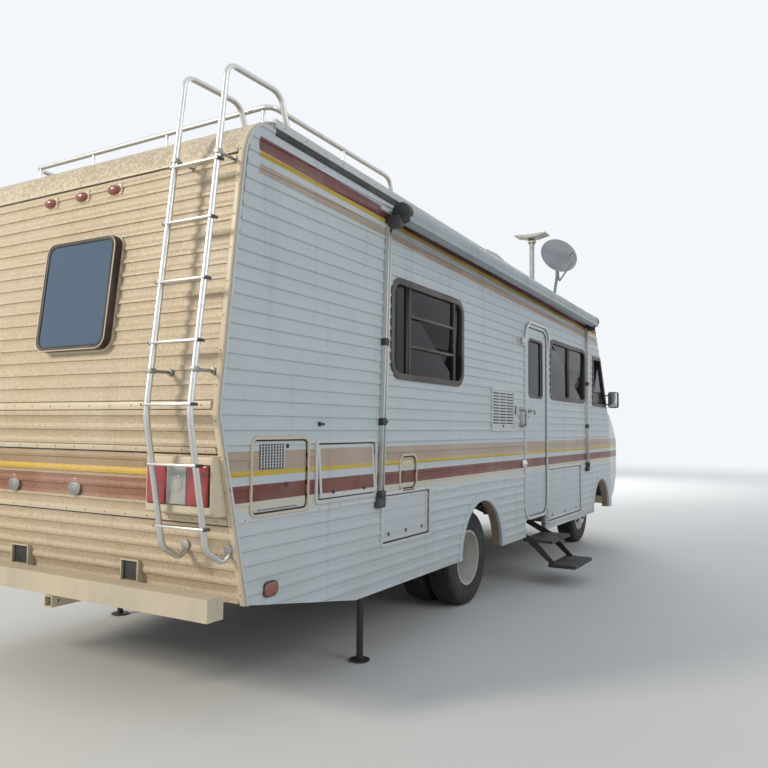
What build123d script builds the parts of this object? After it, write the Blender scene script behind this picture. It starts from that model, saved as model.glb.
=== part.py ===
from build123d import *
import os
from math import atan, cos, degrees, radians, sin

os.makedirs("parts", exist_ok=True)

# A motorhome with ribbed sides, a bulged rear wall and a moulded front mask.
# Millimetres, +X forward, +Y to the vehicle's left, +Z up. The ground is z = 0 and the origin lies
# under the middle of the whole length, on the centre line.

# Body shell
half_width = 1220            # centre line to the outer face of a side wall
wall = 45                    # side and rear wall thickness
roof_wall = 60               # roof thickness
cap_wall = 40                # thickness of the moulded front mask
cap_edge = 90                # rounding of the mask's side edges
floor_top = 980
floor_thick = 60
skirt_z = 442                # lower edge of the skirts
rear_cap_z = 2945            # seam between the rear wall and the roof's rolled rear end
inner_half = half_width - wall

# Lengthwise places: the door, the cab and the nose keep their distances from the front axle
rear_axle_x = -820
wheelbase = 4026
front_axle_x = rear_axle_x + wheelbase
front_overhang = 959
nose_x = front_axle_x + front_overhang
hood_run = 565               # nose back to the windscreen's foot
screen_run = 614             # windscreen's foot back to the roof's front edge
glass_foot_x = nose_x - hood_run
roof_front_x = glass_foot_x - screen_run
roof_front_z = 2930
glass_foot_z = 1775
door_width = 655
door_x0 = front_axle_x - 2971
door_x1 = door_x0 + door_width

# Side outline of the body: x, z, radius of the rounded corner
rear_foot_x = -3850
waist_x = -4075
outline_rows = (
    (rear_foot_x, 610, 0),
    (waist_x, 1545, 150),
    (-3935, 2440, 1500),
    (-3800, 2900, 600),
    (-3700, 3110, 100),
    (roof_front_x, roof_front_z, 110),
    (glass_foot_x, glass_foot_z, 200),
    (glass_foot_x + 200, 1715, 250),
    (nose_x, 1375, 200),
    (nose_x, 844, 200),
    (nose_x - 175, 575, 120),
    (nose_x - 445, skirt_z, 0),
    (-2263, skirt_z, 0),
)

# Running gear
tyre_r = 392
tyre_width = 225
hub_offset = 132             # wheel centre plane to the mounting face of its disc
rear_outer_y = 1100          # outer sidewall of a rear pair
dual_gap = 2 * hub_offset
rear_tyre_y = rear_outer_y - tyre_width / 2
front_tyre_y = 833
king_pin_y = 660
king_pin_r = 20
rail_y = 430                 # outer face of a frame rail
rail_top = 900
rail_depth = 200
rail_flange = 65
rail_sheet = 8

# Wheel arches: opening radius, flare width, flare height over the skin, inward return
rear_arch_r = 445
front_arch_r = 405
front_arch_x = front_axle_x + 20
flare = 60
flare_proud = 8
arch_return = 90
arch_sheet = 8

# Doors and hatches
gap = 8                      # clear gap round every leaf
pin_proud = 6                # hinge line stands this far out from the skin
leaf_depth = 28              # thickness of a hatch leaf
door_z0, door_z1, door_r = 627, 2497, 120
step_notch, step_notch_top = door_width - 36, 600   # notch in the skirt under the door, width and top

# Hatches: name, x0, x1, z0, z1, corner radius, side (-1 right, 1 left), depth of the box behind
store_x0, store_x1 = door_x1 + 50, door_x1 + 1302
hatch_rows = (
    ("appliance_door", -3830, -3363, 1045, 1420, 30, -1, 480),
    ("rear_hatch", -3265, -2636, 1075, 1395, 10, -1, 480),
    ("lower_storage_door", -2530, -1863, 735, 1045, 10, -1, 480),
    ("filler_door", -2296, -2068, 1070, 1294, 50, -1, 160),
    ("front_storage_door", store_x0, store_x1, 520, 1062, 10, -1, 480),
    ("left_storage_door", store_x0, store_x1, 520, 1062, 10, 1, 480),
)
ajar = 4                     # degrees that the rear hatch stands open

# Side windows: x0, x1, z0, z1, corner radius, mullion places as shares of the width
window_rows = (
    (-2425, -1268, 1830, 2490, 110, (0.2, 0.88)),
    (door_x1 + 146, door_x1 + 1515, 1816, 2438, 90, (0.5,)),
)
frame_proud = 14
frame_band = 26
glass_thick = 6


def save(piece, name):
    """Label a finished piece and write its STEP file."""
    piece.part.label = name
    export_step(piece.part, f"parts/{name}.step")


def side_plane(y):
    """Sketch plane across the vehicle at y: sketch x is X, sketch y is Z, extrusion runs to the right."""
    return Plane.XZ.offset(-y)


def outline_x(z):
    """X of the rear wall's outer face at height z, on the straight runs of the outline."""
    rows = outline_rows[:5]
    for (x0, z0, _), (x1, z1, _) in zip(rows, rows[1:]):
        if z0 <= z <= z1:
            return x0 + (x1 - x0) * (z - z0) / (z1 - z0)
    return rows[0][0]


def roof_z(x):
    """Height of the roof's outer face at x."""
    x0, z0 = -3700, 3110
    return z0 + (roof_front_z - z0) * (x - x0) / (roof_front_x - x0)


# Seam between the side walls and the front mask, from the roof down to the skirt
pillar = 56
panel_seams = (-2585, door_x0 - 13)   # upright joints of the side walls' panels
seam_gap = 2
seam_points = (
    (roof_front_x - 95, 3300),
    (roof_front_x - 95, roof_z(roof_front_x - 95) - 60),
    (glass_foot_x - pillar - 12, glass_foot_z + 20),
    (glass_foot_x + 56, 1555),
    (glass_foot_x + 190, 300),
)

# Flat faces of the section, drawn once and used by every shell piece
with BuildSketch() as body_face:
    with BuildLine():
        FilletPolyline(
            *[(x, z) for x, z, _ in outline_rows],
            radius=[r for _, _, r in outline_rows],
            close=True,
        )
    make_face()

with BuildSketch() as mask_zone:
    with BuildLine():
        Polyline(*seam_points, (nose_x + 400, 300), (nose_x + 400, 3300), close=True)
    make_face()

with BuildSketch() as wall_face:
    add(body_face.sketch_local)
    add(mask_zone.sketch_local, mode=Mode.SUBTRACT)
    for x in panel_seams:
        with Locations((x, glass_foot_z)):
            Rectangle(seam_gap, 2 * glass_foot_z, mode=Mode.SUBTRACT)

with BuildSketch() as rear_core:
    add(body_face.sketch_local)
    offset(amount=-wall)

with BuildSketch() as roof_core:
    add(body_face.sketch_local)
    offset(amount=-roof_wall)

with BuildSketch() as mask_core:
    add(body_face.sketch_local)
    offset(amount=-cap_wall)

cab_window_points = (
    (glass_foot_x - 810, 1795), (glass_foot_x - 810, 2405), (glass_foot_x - 432, 2405), (glass_foot_x - 110, 1795),
)
with BuildSketch() as cab_pane:
    with BuildLine():
        FilletPolyline(*cab_window_points, radius=40, close=True)
    make_face()
    offset(amount=-frame_band)


def side_wall(side):
    """One side wall: the section's outline, one wall thick, with its openings cut."""
    outer = half_width * side
    with BuildPart() as piece:
        with BuildSketch(side_plane(max(outer, outer - wall * side))):
            add(wall_face.sketch_local)
            for x0, x1, z0, z1, r, _ in window_rows:
                with Locations(((x0 + x1) / 2, (z0 + z1) / 2)):
                    RectangleRounded(x1 - x0, z1 - z0, r, mode=Mode.SUBTRACT)
            with BuildLine():
                FilletPolyline(*cab_window_points, radius=40, close=True)
            make_face(mode=Mode.SUBTRACT)
            for _, x0, x1, z0, z1, r, row_side, _ in hatch_rows:
                if row_side == side:
                    with Locations(((x0 + x1) / 2, (z0 + z1) / 2)):
                        RectangleRounded(x1 - x0, z1 - z0, r, mode=Mode.SUBTRACT)
            if side < 0:
                with Locations(((door_x0 + door_x1) / 2, (door_z0 + door_z1) / 2)):
                    RectangleRounded(door_x1 - door_x0, door_z1 - door_z0, door_r - 1, mode=Mode.SUBTRACT)
                with Locations(((door_x0 + door_x1) / 2, skirt_z)):
                    Rectangle(step_notch, 2 * (step_notch_top - skirt_z), mode=Mode.SUBTRACT)
            for x, r in ((rear_axle_x, rear_arch_r), (front_arch_x, front_arch_r)):
                with Locations((x, skirt_z)):
                    Circle(r, mode=Mode.SUBTRACT)
        extrude(amount=wall)
        for x, r in ((rear_axle_x, rear_arch_r), (front_arch_x, front_arch_r)):
            rings = ((outer + flare_proud * side, r + flare, r, flare_proud),
                     (outer + flare_proud * side, r, r - arch_sheet, flare_proud + arch_return))
            for face_y, big, small, depth in rings:
                with BuildSketch(side_plane(max(face_y, face_y - depth * side))):
                    with Locations((x, skirt_z)):
                        Circle(big)
                        Circle(small, mode=Mode.SUBTRACT)
                    with Locations((x, skirt_z - big)):
                        Rectangle(2 * big, 2 * big, mode=Mode.SUBTRACT)
                extrude(amount=depth)
    return piece


wall_right = side_wall(-1)
wall_left = side_wall(1)
save(wall_right, "side_wall_right")
save(wall_left, "side_wall_left")

# Rear window: centre, size and tilt follow the wall between its two edges
rear_win_y0, rear_win_y1, rear_win_z0, rear_win_z1 = -323, 294, 1880, 2580
rear_win_r = 60
lean = atan((outline_x(rear_win_z1) - outline_x(rear_win_z0)) / (rear_win_z1 - rear_win_z0))
rear_mid_y = (rear_win_y0 + rear_win_y1) / 2
rear_mid_z = (rear_win_z0 + rear_win_z1) / 2
rear_win_plane = Plane(
    origin=((outline_x(rear_win_z0) + outline_x(rear_win_z1)) / 2, rear_mid_y, rear_mid_z),
    x_dir=(0, -1, 0),
    z_dir=(-cos(lean), 0, sin(lean)),
)
rear_win_w = rear_win_y1 - rear_win_y0
rear_win_h = (rear_win_z1 - rear_win_z0) / cos(lean)

with BuildPart() as rear_wall:
    with BuildSketch(side_plane(inner_half)):
        add(body_face.sketch_local)
        add(rear_core.sketch_local, mode=Mode.SUBTRACT)
        with Locations((rear_foot_x, (rear_cap_z + 500) / 2)):
            Rectangle(1000, rear_cap_z - 500, mode=Mode.INTERSECT)
        with Locations((rear_foot_x + 550, 500)):
            Rectangle(1000, 400, mode=Mode.SUBTRACT)
    extrude(amount=2 * inner_half)
    with BuildSketch(rear_win_plane.offset(-150)):
        RectangleRounded(rear_win_w, rear_win_h, rear_win_r)
    extrude(amount=300, mode=Mode.SUBTRACT)
save(rear_wall, "rear_wall")

# Roof fittings: the vent near the rear and the aerial that folds down rearwards
vent_x, vent_y, vent_size, vent_h = -3250, -540, 360, 60
mast_x, mast_y, mast_h, mast_r = roof_front_x - 696, -600, 850, 30
pivot_lift, pivot_r, bearing_gap = 60, 10, 0.05
pivot_z = roof_z(mast_x) + pivot_lift

roof_front_cut = roof_front_x - 95
with BuildPart() as roof_panel:
    with BuildSketch(side_plane(inner_half)):
        add(body_face.sketch_local)
        add(roof_core.sketch_local, mode=Mode.SUBTRACT)
        with Locations(((roof_front_cut - 4300) / 2, 3000)):
            Rectangle(roof_front_cut + 4300, 600, mode=Mode.INTERSECT)
        with Locations((-4000, rear_cap_z - 200)):
            Rectangle(1000, 400, mode=Mode.SUBTRACT)
    extrude(amount=2 * inner_half)
    # curb of the roof vent and pivot foot of the aerial
    with BuildSketch(Plane.XY.offset(roof_z(vent_x) - 30)):
        with Locations((vent_x, vent_y)):
            Rectangle(vent_size - 40, vent_size - 40)
    extrude(amount=46)
    with Locations((mast_x, mast_y, roof_z(mast_x) - 20)):
        Box(160, 130, 32, align=(Align.CENTER, Align.CENTER, Align.MIN))
    for s in (-1, 1):
        with Locations((mast_x, mast_y + s * 42, roof_z(mast_x))):
            Box(60, 14, pivot_lift + 35, align=(Align.CENTER, Align.CENTER, Align.MIN))
    with Locations(Location((mast_x, mast_y, pivot_z), (90, 0, 0))):
        Cylinder(pivot_r, 90)
save(roof_panel, "roof_panel")

# Front mask: the section's front end across the full width, rounded at the sides and hollow behind
glass_lean = atan((glass_foot_x - roof_front_x) / (roof_front_z - glass_foot_z))
glass_mid = ((roof_front_x + glass_foot_x) / 2, (roof_front_z + glass_foot_z) / 2)
glass_plane = Plane(
    origin=(glass_mid[0], 0, glass_mid[1]),
    x_dir=(0, 1, 0),
    z_dir=(cos(glass_lean), 0, sin(glass_lean)),
)
glass_slope = (roof_front_z - glass_foot_z) / cos(glass_lean)
pane_w, pane_h, pane_r, pane_post = half_width - 140, 1010, 90, 60
pane_shift = -15

with BuildPart() as mask_outer:
    with BuildSketch(side_plane(half_width)):
        add(body_face.sketch_local)
        with Locations((glass_foot_x, 1500)):
            Rectangle(2400, 3400, mode=Mode.INTERSECT)
    extrude(amount=2 * half_width)
    sides = (mask_outer.faces().sort_by(Axis.Y)[0], mask_outer.faces().sort_by(Axis.Y)[-1])
    edges = ShapeList()
    for face in sides:
        edges += face.edges().filter_by(lambda e: e.center().X > roof_front_x + 14 and e.center().Z > skirt_z + 5)
    fillet(edges, cap_edge)

with BuildPart() as mask_inner:
    with BuildSketch(side_plane(half_width - cap_wall)):
        add(mask_core.sketch_local)
        with Locations((glass_foot_x, 1500)):
            Rectangle(2400, 3400, mode=Mode.INTERSECT)
    extrude(amount=2 * (half_width - cap_wall))
    sides = (mask_inner.faces().sort_by(Axis.Y)[0], mask_inner.faces().sort_by(Axis.Y)[-1])
    edges = ShapeList()
    for face in sides:
        edges += face.edges().filter_by(lambda e: e.center().X > roof_front_x + 14 and e.center().Z > skirt_z + 60)
    fillet(edges, cap_edge - cap_wall)

lamp_z, lamp_w, lamp_h = 1150, 430, 150
lamp_y = half_width - 390
grille_w, grille_h = half_width - 140, 170
with BuildPart() as front_cap:
    with BuildSketch(side_plane(half_width)):
        add(mask_zone.sketch_local)
    extrude(amount=2 * half_width)
    add(mask_outer.part, mode=Mode.INTERSECT)
    add(mask_inner.part, mode=Mode.SUBTRACT)
    with BuildSketch(side_plane(half_width - cap_wall)):
        with Locations((glass_foot_x + 100, skirt_z - 12)):
            Rectangle(900, 260)
    extrude(amount=2 * (half_width - cap_wall), mode=Mode.SUBTRACT)
    with BuildSketch(glass_plane.offset(-200)):
        for s in (-1, 1):
            with Locations((s * (pane_w + pane_post) / 2, pane_shift)):
                RectangleRounded(pane_w, pane_h, pane_r)
    extrude(amount=400, mode=Mode.SUBTRACT)
    with BuildSketch(Plane.YZ.offset(nose_x - 150)):
        with Locations((0, lamp_z)):
            Rectangle(grille_w, grille_h)
        for s in (-1, 1):
            with Locations((s * lamp_y, lamp_z)):
                RectangleRounded(lamp_w, lamp_h, 25)
    extrude(amount=300, mode=Mode.SUBTRACT)
save(front_cap, "front_cap")

# Floor: sheets between the cut-outs of the entry well, the storage boxes and the engine
floor_x0, floor_x1 = -3870, glass_foot_x + 40
bay_sheet = 8
bay_gap = 2
well_x0, well_x1, well_depth, well_z = door_x0 + 15, door_x1 - 15, 380, 632
engine_x0 = front_axle_x - 706
engine_x1, engine_half, engine_z0, engine_z1 = engine_x0 + 730, 300, 640, 1150
engine_room = 30             # clear room round the engine in the floor

# Cut-outs along the floor's edges: x0, x1, side, depth in from the wall
bay_room = bay_sheet + bay_gap
edge_cuts = [(well_x0, well_x1, -1, well_depth)]
for _, x0, x1, z0, _, _, side, depth in hatch_rows:
    if z0 < floor_top - floor_thick:
        edge_cuts.append((x0 - bay_room, x1 + bay_room, side, depth + bay_room))
engine_cut = (engine_x0 - engine_room, engine_x1 + engine_room)
sheet_ends = {floor_x0, floor_x1, *engine_cut}
for x0, x1, _, _ in edge_cuts:
    sheet_ends.update((x0, x1))
sheet_ends = sorted(sheet_ends)

with BuildPart() as floor_pan:
    with BuildSketch(Plane.XY.offset(floor_top - floor_thick)):
        for x0, x1 in zip(sheet_ends, sheet_ends[1:]):
            reach = {-1: inner_half, 1: inner_half}
            for cut_x0, cut_x1, side, depth in edge_cuts:
                if cut_x0 <= x0 and x1 <= cut_x1:
                    reach[side] = inner_half - depth
            with Locations(((x0 + x1) / 2, (reach[1] - reach[-1]) / 2)):
                Rectangle(x1 - x0 - seam_gap, reach[1] + reach[-1])
        with Locations(((engine_x0 + engine_x1) / 2, 0)):
            Rectangle(engine_cut[1] - engine_cut[0], 2 * (engine_half + engine_room), mode=Mode.SUBTRACT)
    extrude(amount=floor_thick)
save(floor_pan, "floor_pan")

with BuildPart() as storage_boxes:
    for _, x0, x1, z0, z1, _, side, depth in hatch_rows:
        mouth = (inner_half - bay_gap) * side
        for grow, run, cut in ((bay_sheet, depth, Mode.ADD), (0, depth - bay_sheet, Mode.SUBTRACT)):
            with BuildSketch(side_plane(max(mouth, mouth - run * side))):
                with Locations(((x0 + x1) / 2, (z0 + z1) / 2)):
                    Rectangle(x1 - x0 + 2 * grow, z1 - z0 + 2 * grow)
            extrude(amount=run, mode=cut)
    # tray of the entry well, hung under the edges of its cut-out in the floor
    well_mouth = -inner_half + bay_gap
    for grow, low, run, cut in ((bay_sheet, well_z, well_depth, Mode.ADD),
                                (0, well_z + bay_sheet, well_depth - bay_gap, Mode.SUBTRACT)):
        with BuildSketch(Plane.XY.offset(low)):
            with Locations(((well_x0 + well_x1) / 2, well_mouth)):
                Rectangle(well_x1 - well_x0 + 2 * grow, run + grow, align=(Align.CENTER, Align.MIN))
        extrude(amount=floor_top - floor_thick - low, mode=cut)
save(storage_boxes, "storage_boxes")

# Ladder frame: two channel rails, crossmembers, floor joists and the rear jack posts
rail_x0, rail_x1 = -3780, nose_x - 265
cross_rows = (-3700, -2300, -1500, -250, door_x1 + 10, engine_x0 - 200, rail_x1 - 120)
joist_rows = (-3600, -2700, -1500, -300, door_x0 - 135, engine_x0 - 230, engine_x0 - 100)
cross_w, cross_h = 60, 110
jack_x, jack_y, jack_r, jack_pad, jack_clear = -2600, half_width - 110, 22, 130, 3
with BuildPart() as chassis_frame:
    with BuildSketch(Plane.YZ.offset(rail_x0)):
        with Locations((rail_y - rail_flange / 2, rail_top - rail_depth / 2)):
            Rectangle(rail_flange, rail_depth)
        with Locations((rail_y - rail_sheet - rail_flange / 2, rail_top - rail_depth / 2)):
            Rectangle(rail_flange, rail_depth - 2 * rail_sheet, mode=Mode.SUBTRACT)
    extrude(amount=rail_x1 - rail_x0)
    # sill on each rail, which carries every sheet of the floor
    with Locations((rail_x0, rail_y, rail_top)):
        Box(floor_x1 - rail_x0, rail_flange, floor_top - floor_thick - rail_top,
            align=(Align.MIN, Align.MAX, Align.MIN))
    mirror(about=Plane.XZ)
    for x in cross_rows:
        with Locations((x, 0, rail_top - 30)):
            Box(cross_w, 2 * (rail_y - rail_sheet / 2), cross_h, align=(Align.CENTER, Align.CENTER, Align.MAX))
    for x in joist_rows:
        with Locations((x, 0, rail_top)):
            Box(50, 2 * inner_half, floor_top - floor_thick - rail_top, align=(Align.CENTER, Align.CENTER, Align.MIN))
    for s in (-1, 1):
        with Locations((jack_x, s * jack_y, jack_clear)):
            Cylinder(jack_pad / 2, 8, align=(Align.CENTER, Align.CENTER, Align.MIN))
            Cylinder(jack_r, rail_top - 60 - jack_clear, align=(Align.CENTER, Align.CENTER, Align.MIN))
        with Locations((jack_x, s * (jack_y + rail_y) / 2, rail_top - 60)):
            Box(60, jack_y - rail_y + 60, 60, align=(Align.CENTER, Align.CENTER, Align.MIN))
save(chassis_frame, "chassis_frame")

# Axles with their leaf packs and hangers
spring_y, spring_w, spring_leaf, spring_half = 505, 70, 10, 620
spring_rise = 60
eye_r = 30


def leaf_pack(x, z_seat, half, leaves, y, rise):
    """A stack of bowed leaves at each side, with eyes and hangers up to the frame rails."""
    z_eye = z_seat + (leaves - 1) * spring_leaf + rise + eye_r
    with BuildPart() as packs:
        for n in range(leaves):
            run = half * (1 - 0.16 * n)
            lift = rise * (run / half) ** 2
            z = z_seat + (leaves - 1 - n) * spring_leaf
            with BuildSketch(side_plane(y + spring_w / 2)):
                with BuildLine():
                    low = ThreePointArc((x - run, z + lift), (x, z), (x + run, z + lift))
                    high = ThreePointArc((x - run, z + lift + spring_leaf), (x, z + spring_leaf),
                                         (x + run, z + lift + spring_leaf))
                    Line(low @ 0, high @ 0)
                    Line(low @ 1, high @ 1)
                make_face()
            extrude(amount=spring_w)
        for end in (-1, 1):
            with Locations(Location((x + end * half, y, z_eye), (90, 0, 0))):
                Cylinder(eye_r, spring_w)
            beside = y > rail_y
            reach = y + spring_w / 2 - rail_y if beside else spring_w
            top = rail_top - rail_depth + (60 if beside else 0)
            with Locations((x + end * half, y + spring_w / 2, z_eye)):
                Box(60, reach, top - z_eye, align=(Align.CENTER, Align.MAX, Align.MIN))
        mirror(about=Plane.XZ)
    return packs


axle_tube_r = 60
gearbox_z, gearbox_h, pinion_len = 540, 200, 260
shaft_front = Vector(engine_x0 - 640, 0, gearbox_z + gearbox_h / 2)
shaft_dir = (shaft_front - Vector(rear_axle_x, 0, tyre_r)).normalized()
shaft_rear = Vector(rear_axle_x, 0, tyre_r) + shaft_dir * pinion_len
rear_leaves = leaf_pack(rear_axle_x, tyre_r + axle_tube_r, spring_half, 5, spring_y, spring_rise)
front_spring_y, beam_h, beam_w, beam_drop = 395, 80, 70, 60
fork_gap = 3
knuckle_h = 130
front_seat_z = tyre_r - beam_drop + beam_h / 2 + 40
front_leaves = leaf_pack(front_axle_x, front_seat_z, 520, 4, front_spring_y, spring_rise)
with BuildPart() as axles:
    with BuildSketch(Plane.YZ.offset(front_axle_x - beam_w / 2)):
        with BuildLine():
            Polyline(
                (0, tyre_r - beam_drop - beam_h / 2),
                (420, tyre_r - beam_drop - beam_h / 2),
                (king_pin_y - 90, tyre_r - beam_h / 2),
                (king_pin_y + 35, tyre_r - beam_h / 2),
                (king_pin_y + 35, tyre_r + beam_h / 2),
                (king_pin_y - 90, tyre_r + beam_h / 2),
                (420, tyre_r - beam_drop + beam_h / 2),
                (0, tyre_r - beam_drop + beam_h / 2),
                close=True,
            )
        make_face()
    extrude(amount=beam_w)
    mirror(about=Plane.XZ)
    for s in (-1, 1):
        with Locations((front_axle_x, s * king_pin_y, tyre_r)):
            Cylinder(king_pin_r + 0.05, beam_h + 20, mode=Mode.SUBTRACT)
        with Locations((front_axle_x, s * front_spring_y, tyre_r - beam_drop)):
            Box(130, spring_w + 10, beam_h / 2 + 45, align=(Align.CENTER, Align.CENTER, Align.MIN))
    add(front_leaves.part)
    with Locations(Location((rear_axle_x, 0, tyre_r), (90, 0, 0))):
        Cylinder(axle_tube_r, 2 * (rear_tyre_y - dual_gap / 2 - 20))
    with Locations((rear_axle_x, 0, tyre_r)):
        Sphere(175)
    with Locations(Plane(origin=(rear_axle_x, 0, tyre_r), z_dir=shaft_dir)):
        Cylinder(80, pinion_len, align=(Align.CENTER, Align.CENTER, Align.MIN))
    for s in (-1, 1):
        with Locations((rear_axle_x, s * spring_y, tyre_r)):
            Box(150, spring_w + 20, axle_tube_r + 10, align=(Align.CENTER, Align.CENTER, Align.MIN))
    add(rear_leaves.part)
save(axles, "axles")

# Steering knuckles: a fork over the beam's end with the king pin in it, and the wheel spindle
spindle_r = 28
for s, name in ((-1, "knuckle_right"), (1, "knuckle_left")):
    with BuildPart() as knuckle:
        with Locations((front_axle_x, s * (king_pin_y + 20), tyre_r)):
            Box(90, 130, knuckle_h + 60)
            Box(95, 135, beam_h + 2 * fork_gap, mode=Mode.SUBTRACT)
        with Locations((front_axle_x, s * (king_pin_y + 20 + 65 - 12), tyre_r)):
            Box(90, 24, knuckle_h + 60)
        with Locations((front_axle_x, s * king_pin_y, tyre_r)):
            Cylinder(king_pin_r, knuckle_h + 60)
        with Locations(Location((front_axle_x, s * (king_pin_y + 80), tyre_r), (-90 * s, 0, 0))):
            Cylinder(60, 14, align=(Align.CENTER, Align.CENTER, Align.MIN))
            Cylinder(spindle_r, 150, align=(Align.CENTER, Align.CENTER, Align.MIN))
        with Locations((front_axle_x - 45, s * (king_pin_y + 20), tyre_r - knuckle_h / 2 - 15)):
            Box(170, 40, 24, align=(Align.MAX, Align.CENTER, Align.CENTER))
    save(knuckle, name)

# Wheels. Outboard distance is counted from the tyre's centre plane.
hub_r = 52
hand_hole_r, hand_circle_r, hand_count = 24, 172, 5


def wheel_plane(x, y, side):
    """Plane through a wheel's axis: sketch x runs outboard from y, sketch y is the radius."""
    return Plane(origin=(x, y * side, tyre_r), x_dir=(0, side, 0), z_dir=(side, 0, 0))


def tyre_ring(plane_x, y, side, centres):
    """Tyres of one wheel, turned about the axle."""
    half = tyre_width / 2
    with BuildPart() as ring:
        for c in centres:
            with BuildSketch(wheel_plane(plane_x, y, side)):
                with BuildLine():
                    Polyline(
                        (c - 90, 218), (c - half + 4, 262), (c - half, 320), (c - half + 34, tyre_r),
                        (c + half - 34, tyre_r), (c + half, 320), (c + half - 4, 262), (c + 90, 218), close=True,
                    )
                make_face()
            revolve(axis=Axis((plane_x, 0, tyre_r), (0, 1, 0)))
    return ring


def rim_ring(plane_x, y, side, rows):
    """Rims of one wheel: rows hold each centre and the way its disc is dished."""
    with BuildPart() as ring:
        for c, d in rows:
            with BuildSketch(wheel_plane(plane_x, y, side)):
                with BuildLine():
                    Polyline(
                        (c - d * 98, 232), (c - d * 90, 218), (c + d * 90, 218), (c + d * 98, 232),
                        (c + d * 98, 208), (c + d * 92, 208),
                        (c + d * (hub_offset + 4), 150), (c + d * (hub_offset + 4), 0),
                        (c + d * (hub_offset - 4), 0), (c + d * (hub_offset - 4), 145),
                        (c + d * 78, 203), (c + d * 10, 203), (c - d * 98, 214),
                        close=True,
                    )
                make_face()
            revolve(axis=Axis((plane_x, 0, tyre_r), (0, 1, 0)))
        with BuildSketch(side_plane(side * y + 2 * dual_gap)):
            with Locations((plane_x, tyre_r)):
                with PolarLocations(hand_circle_r, hand_count):
                    Circle(hand_hole_r)
        extrude(amount=4 * dual_gap, mode=Mode.SUBTRACT)
    return ring


for side, name in ((-1, "right"), (1, "left")):
    tyres = tyre_ring(rear_axle_x, rear_tyre_y, side, (0, -dual_gap))
    save(tyres, f"rear_tyres_{name}")
    rims = rim_ring(rear_axle_x, rear_tyre_y, side, ((0, -1), (-dual_gap, 1)))
    with BuildPart() as rear_rims:
        add(rims.part)
        with Locations(Location((rear_axle_x, side * (rear_tyre_y - hub_offset), tyre_r), (-90 * side, 0, 0))):
            Cylinder(hub_r, 90, align=(Align.CENTER, Align.CENTER, Align.MIN))
    save(rear_rims, f"rear_rims_{name}")
    tyre = tyre_ring(front_axle_x, front_tyre_y, side, (0,))
    save(tyre, f"front_tyre_{name}")
    rims = rim_ring(front_axle_x, front_tyre_y, side, ((0, 1),))
    with BuildPart() as front_rim:
        add(rims.part)
        with Locations(Location((front_axle_x, side * (front_tyre_y - 50), tyre_r), (-90 * side, 0, 0))):
            Cylinder(hub_r, hub_offset + 90, align=(Align.CENTER, Align.CENTER, Align.MIN))
        with Locations(Location((front_axle_x, side * (front_tyre_y - 60), tyre_r), (-90 * side, 0, 0))):
            Cylinder(spindle_r + bearing_gap, 140, align=(Align.CENTER, Align.CENTER, Align.MIN), mode=Mode.SUBTRACT)
    save(front_rim, f"front_rim_{name}")

# Entrance door with its pane, and the hatch leaves
door_win_x0, door_win_x1, door_win_z0, door_win_z1, door_win_r = door_x0 + 128, door_x0 + 533, 1811, 2374, 45
with BuildPart() as entrance_door:
    with BuildSketch(side_plane(-inner_half)):
        with Locations(((door_x0 + door_x1) / 2, (door_z0 + door_z1) / 2)):
            RectangleRounded(door_x1 - door_x0 - 2 * gap, door_z1 - door_z0 - 2 * gap, door_r - gap)
        with Locations(((door_win_x0 + door_win_x1) / 2, (door_win_z0 + door_win_z1) / 2)):
            RectangleRounded(door_win_x1 - door_win_x0, door_win_z1 - door_win_z0, door_win_r, mode=Mode.SUBTRACT)
    extrude(amount=wall)
save(entrance_door, "entrance_door")
with BuildPart() as door_glass:
    with BuildSketch(side_plane(-(inner_half + wall / 2))):
        with Locations(((door_win_x0 + door_win_x1) / 2, (door_win_z0 + door_win_z1) / 2)):
            RectangleRounded(door_win_x1 - door_win_x0, door_win_z1 - door_win_z0, door_win_r)
    extrude(amount=glass_thick)
save(door_glass, "door_glass")

for name, x0, x1, z0, z1, r, side, _ in hatch_rows:
    outer = half_width * side
    with BuildPart() as leaf:
        with BuildSketch(side_plane(max(outer, outer - leaf_depth * side))):
            with Locations(((x0 + x1) / 2, (z0 + z1) / 2)):
                RectangleRounded(x1 - x0 - 2 * gap, z1 - z0 - 2 * gap, max(r - gap, 3))
        extrude(amount=leaf_depth)
    if name == "rear_hatch":
        hinge_line = Axis((0, outer + pin_proud * side, z1 - gap / 2), (1, 0, 0))
        leaf.part = leaf.part.rotate(hinge_line, ajar * side)
    save(leaf, name)

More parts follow.
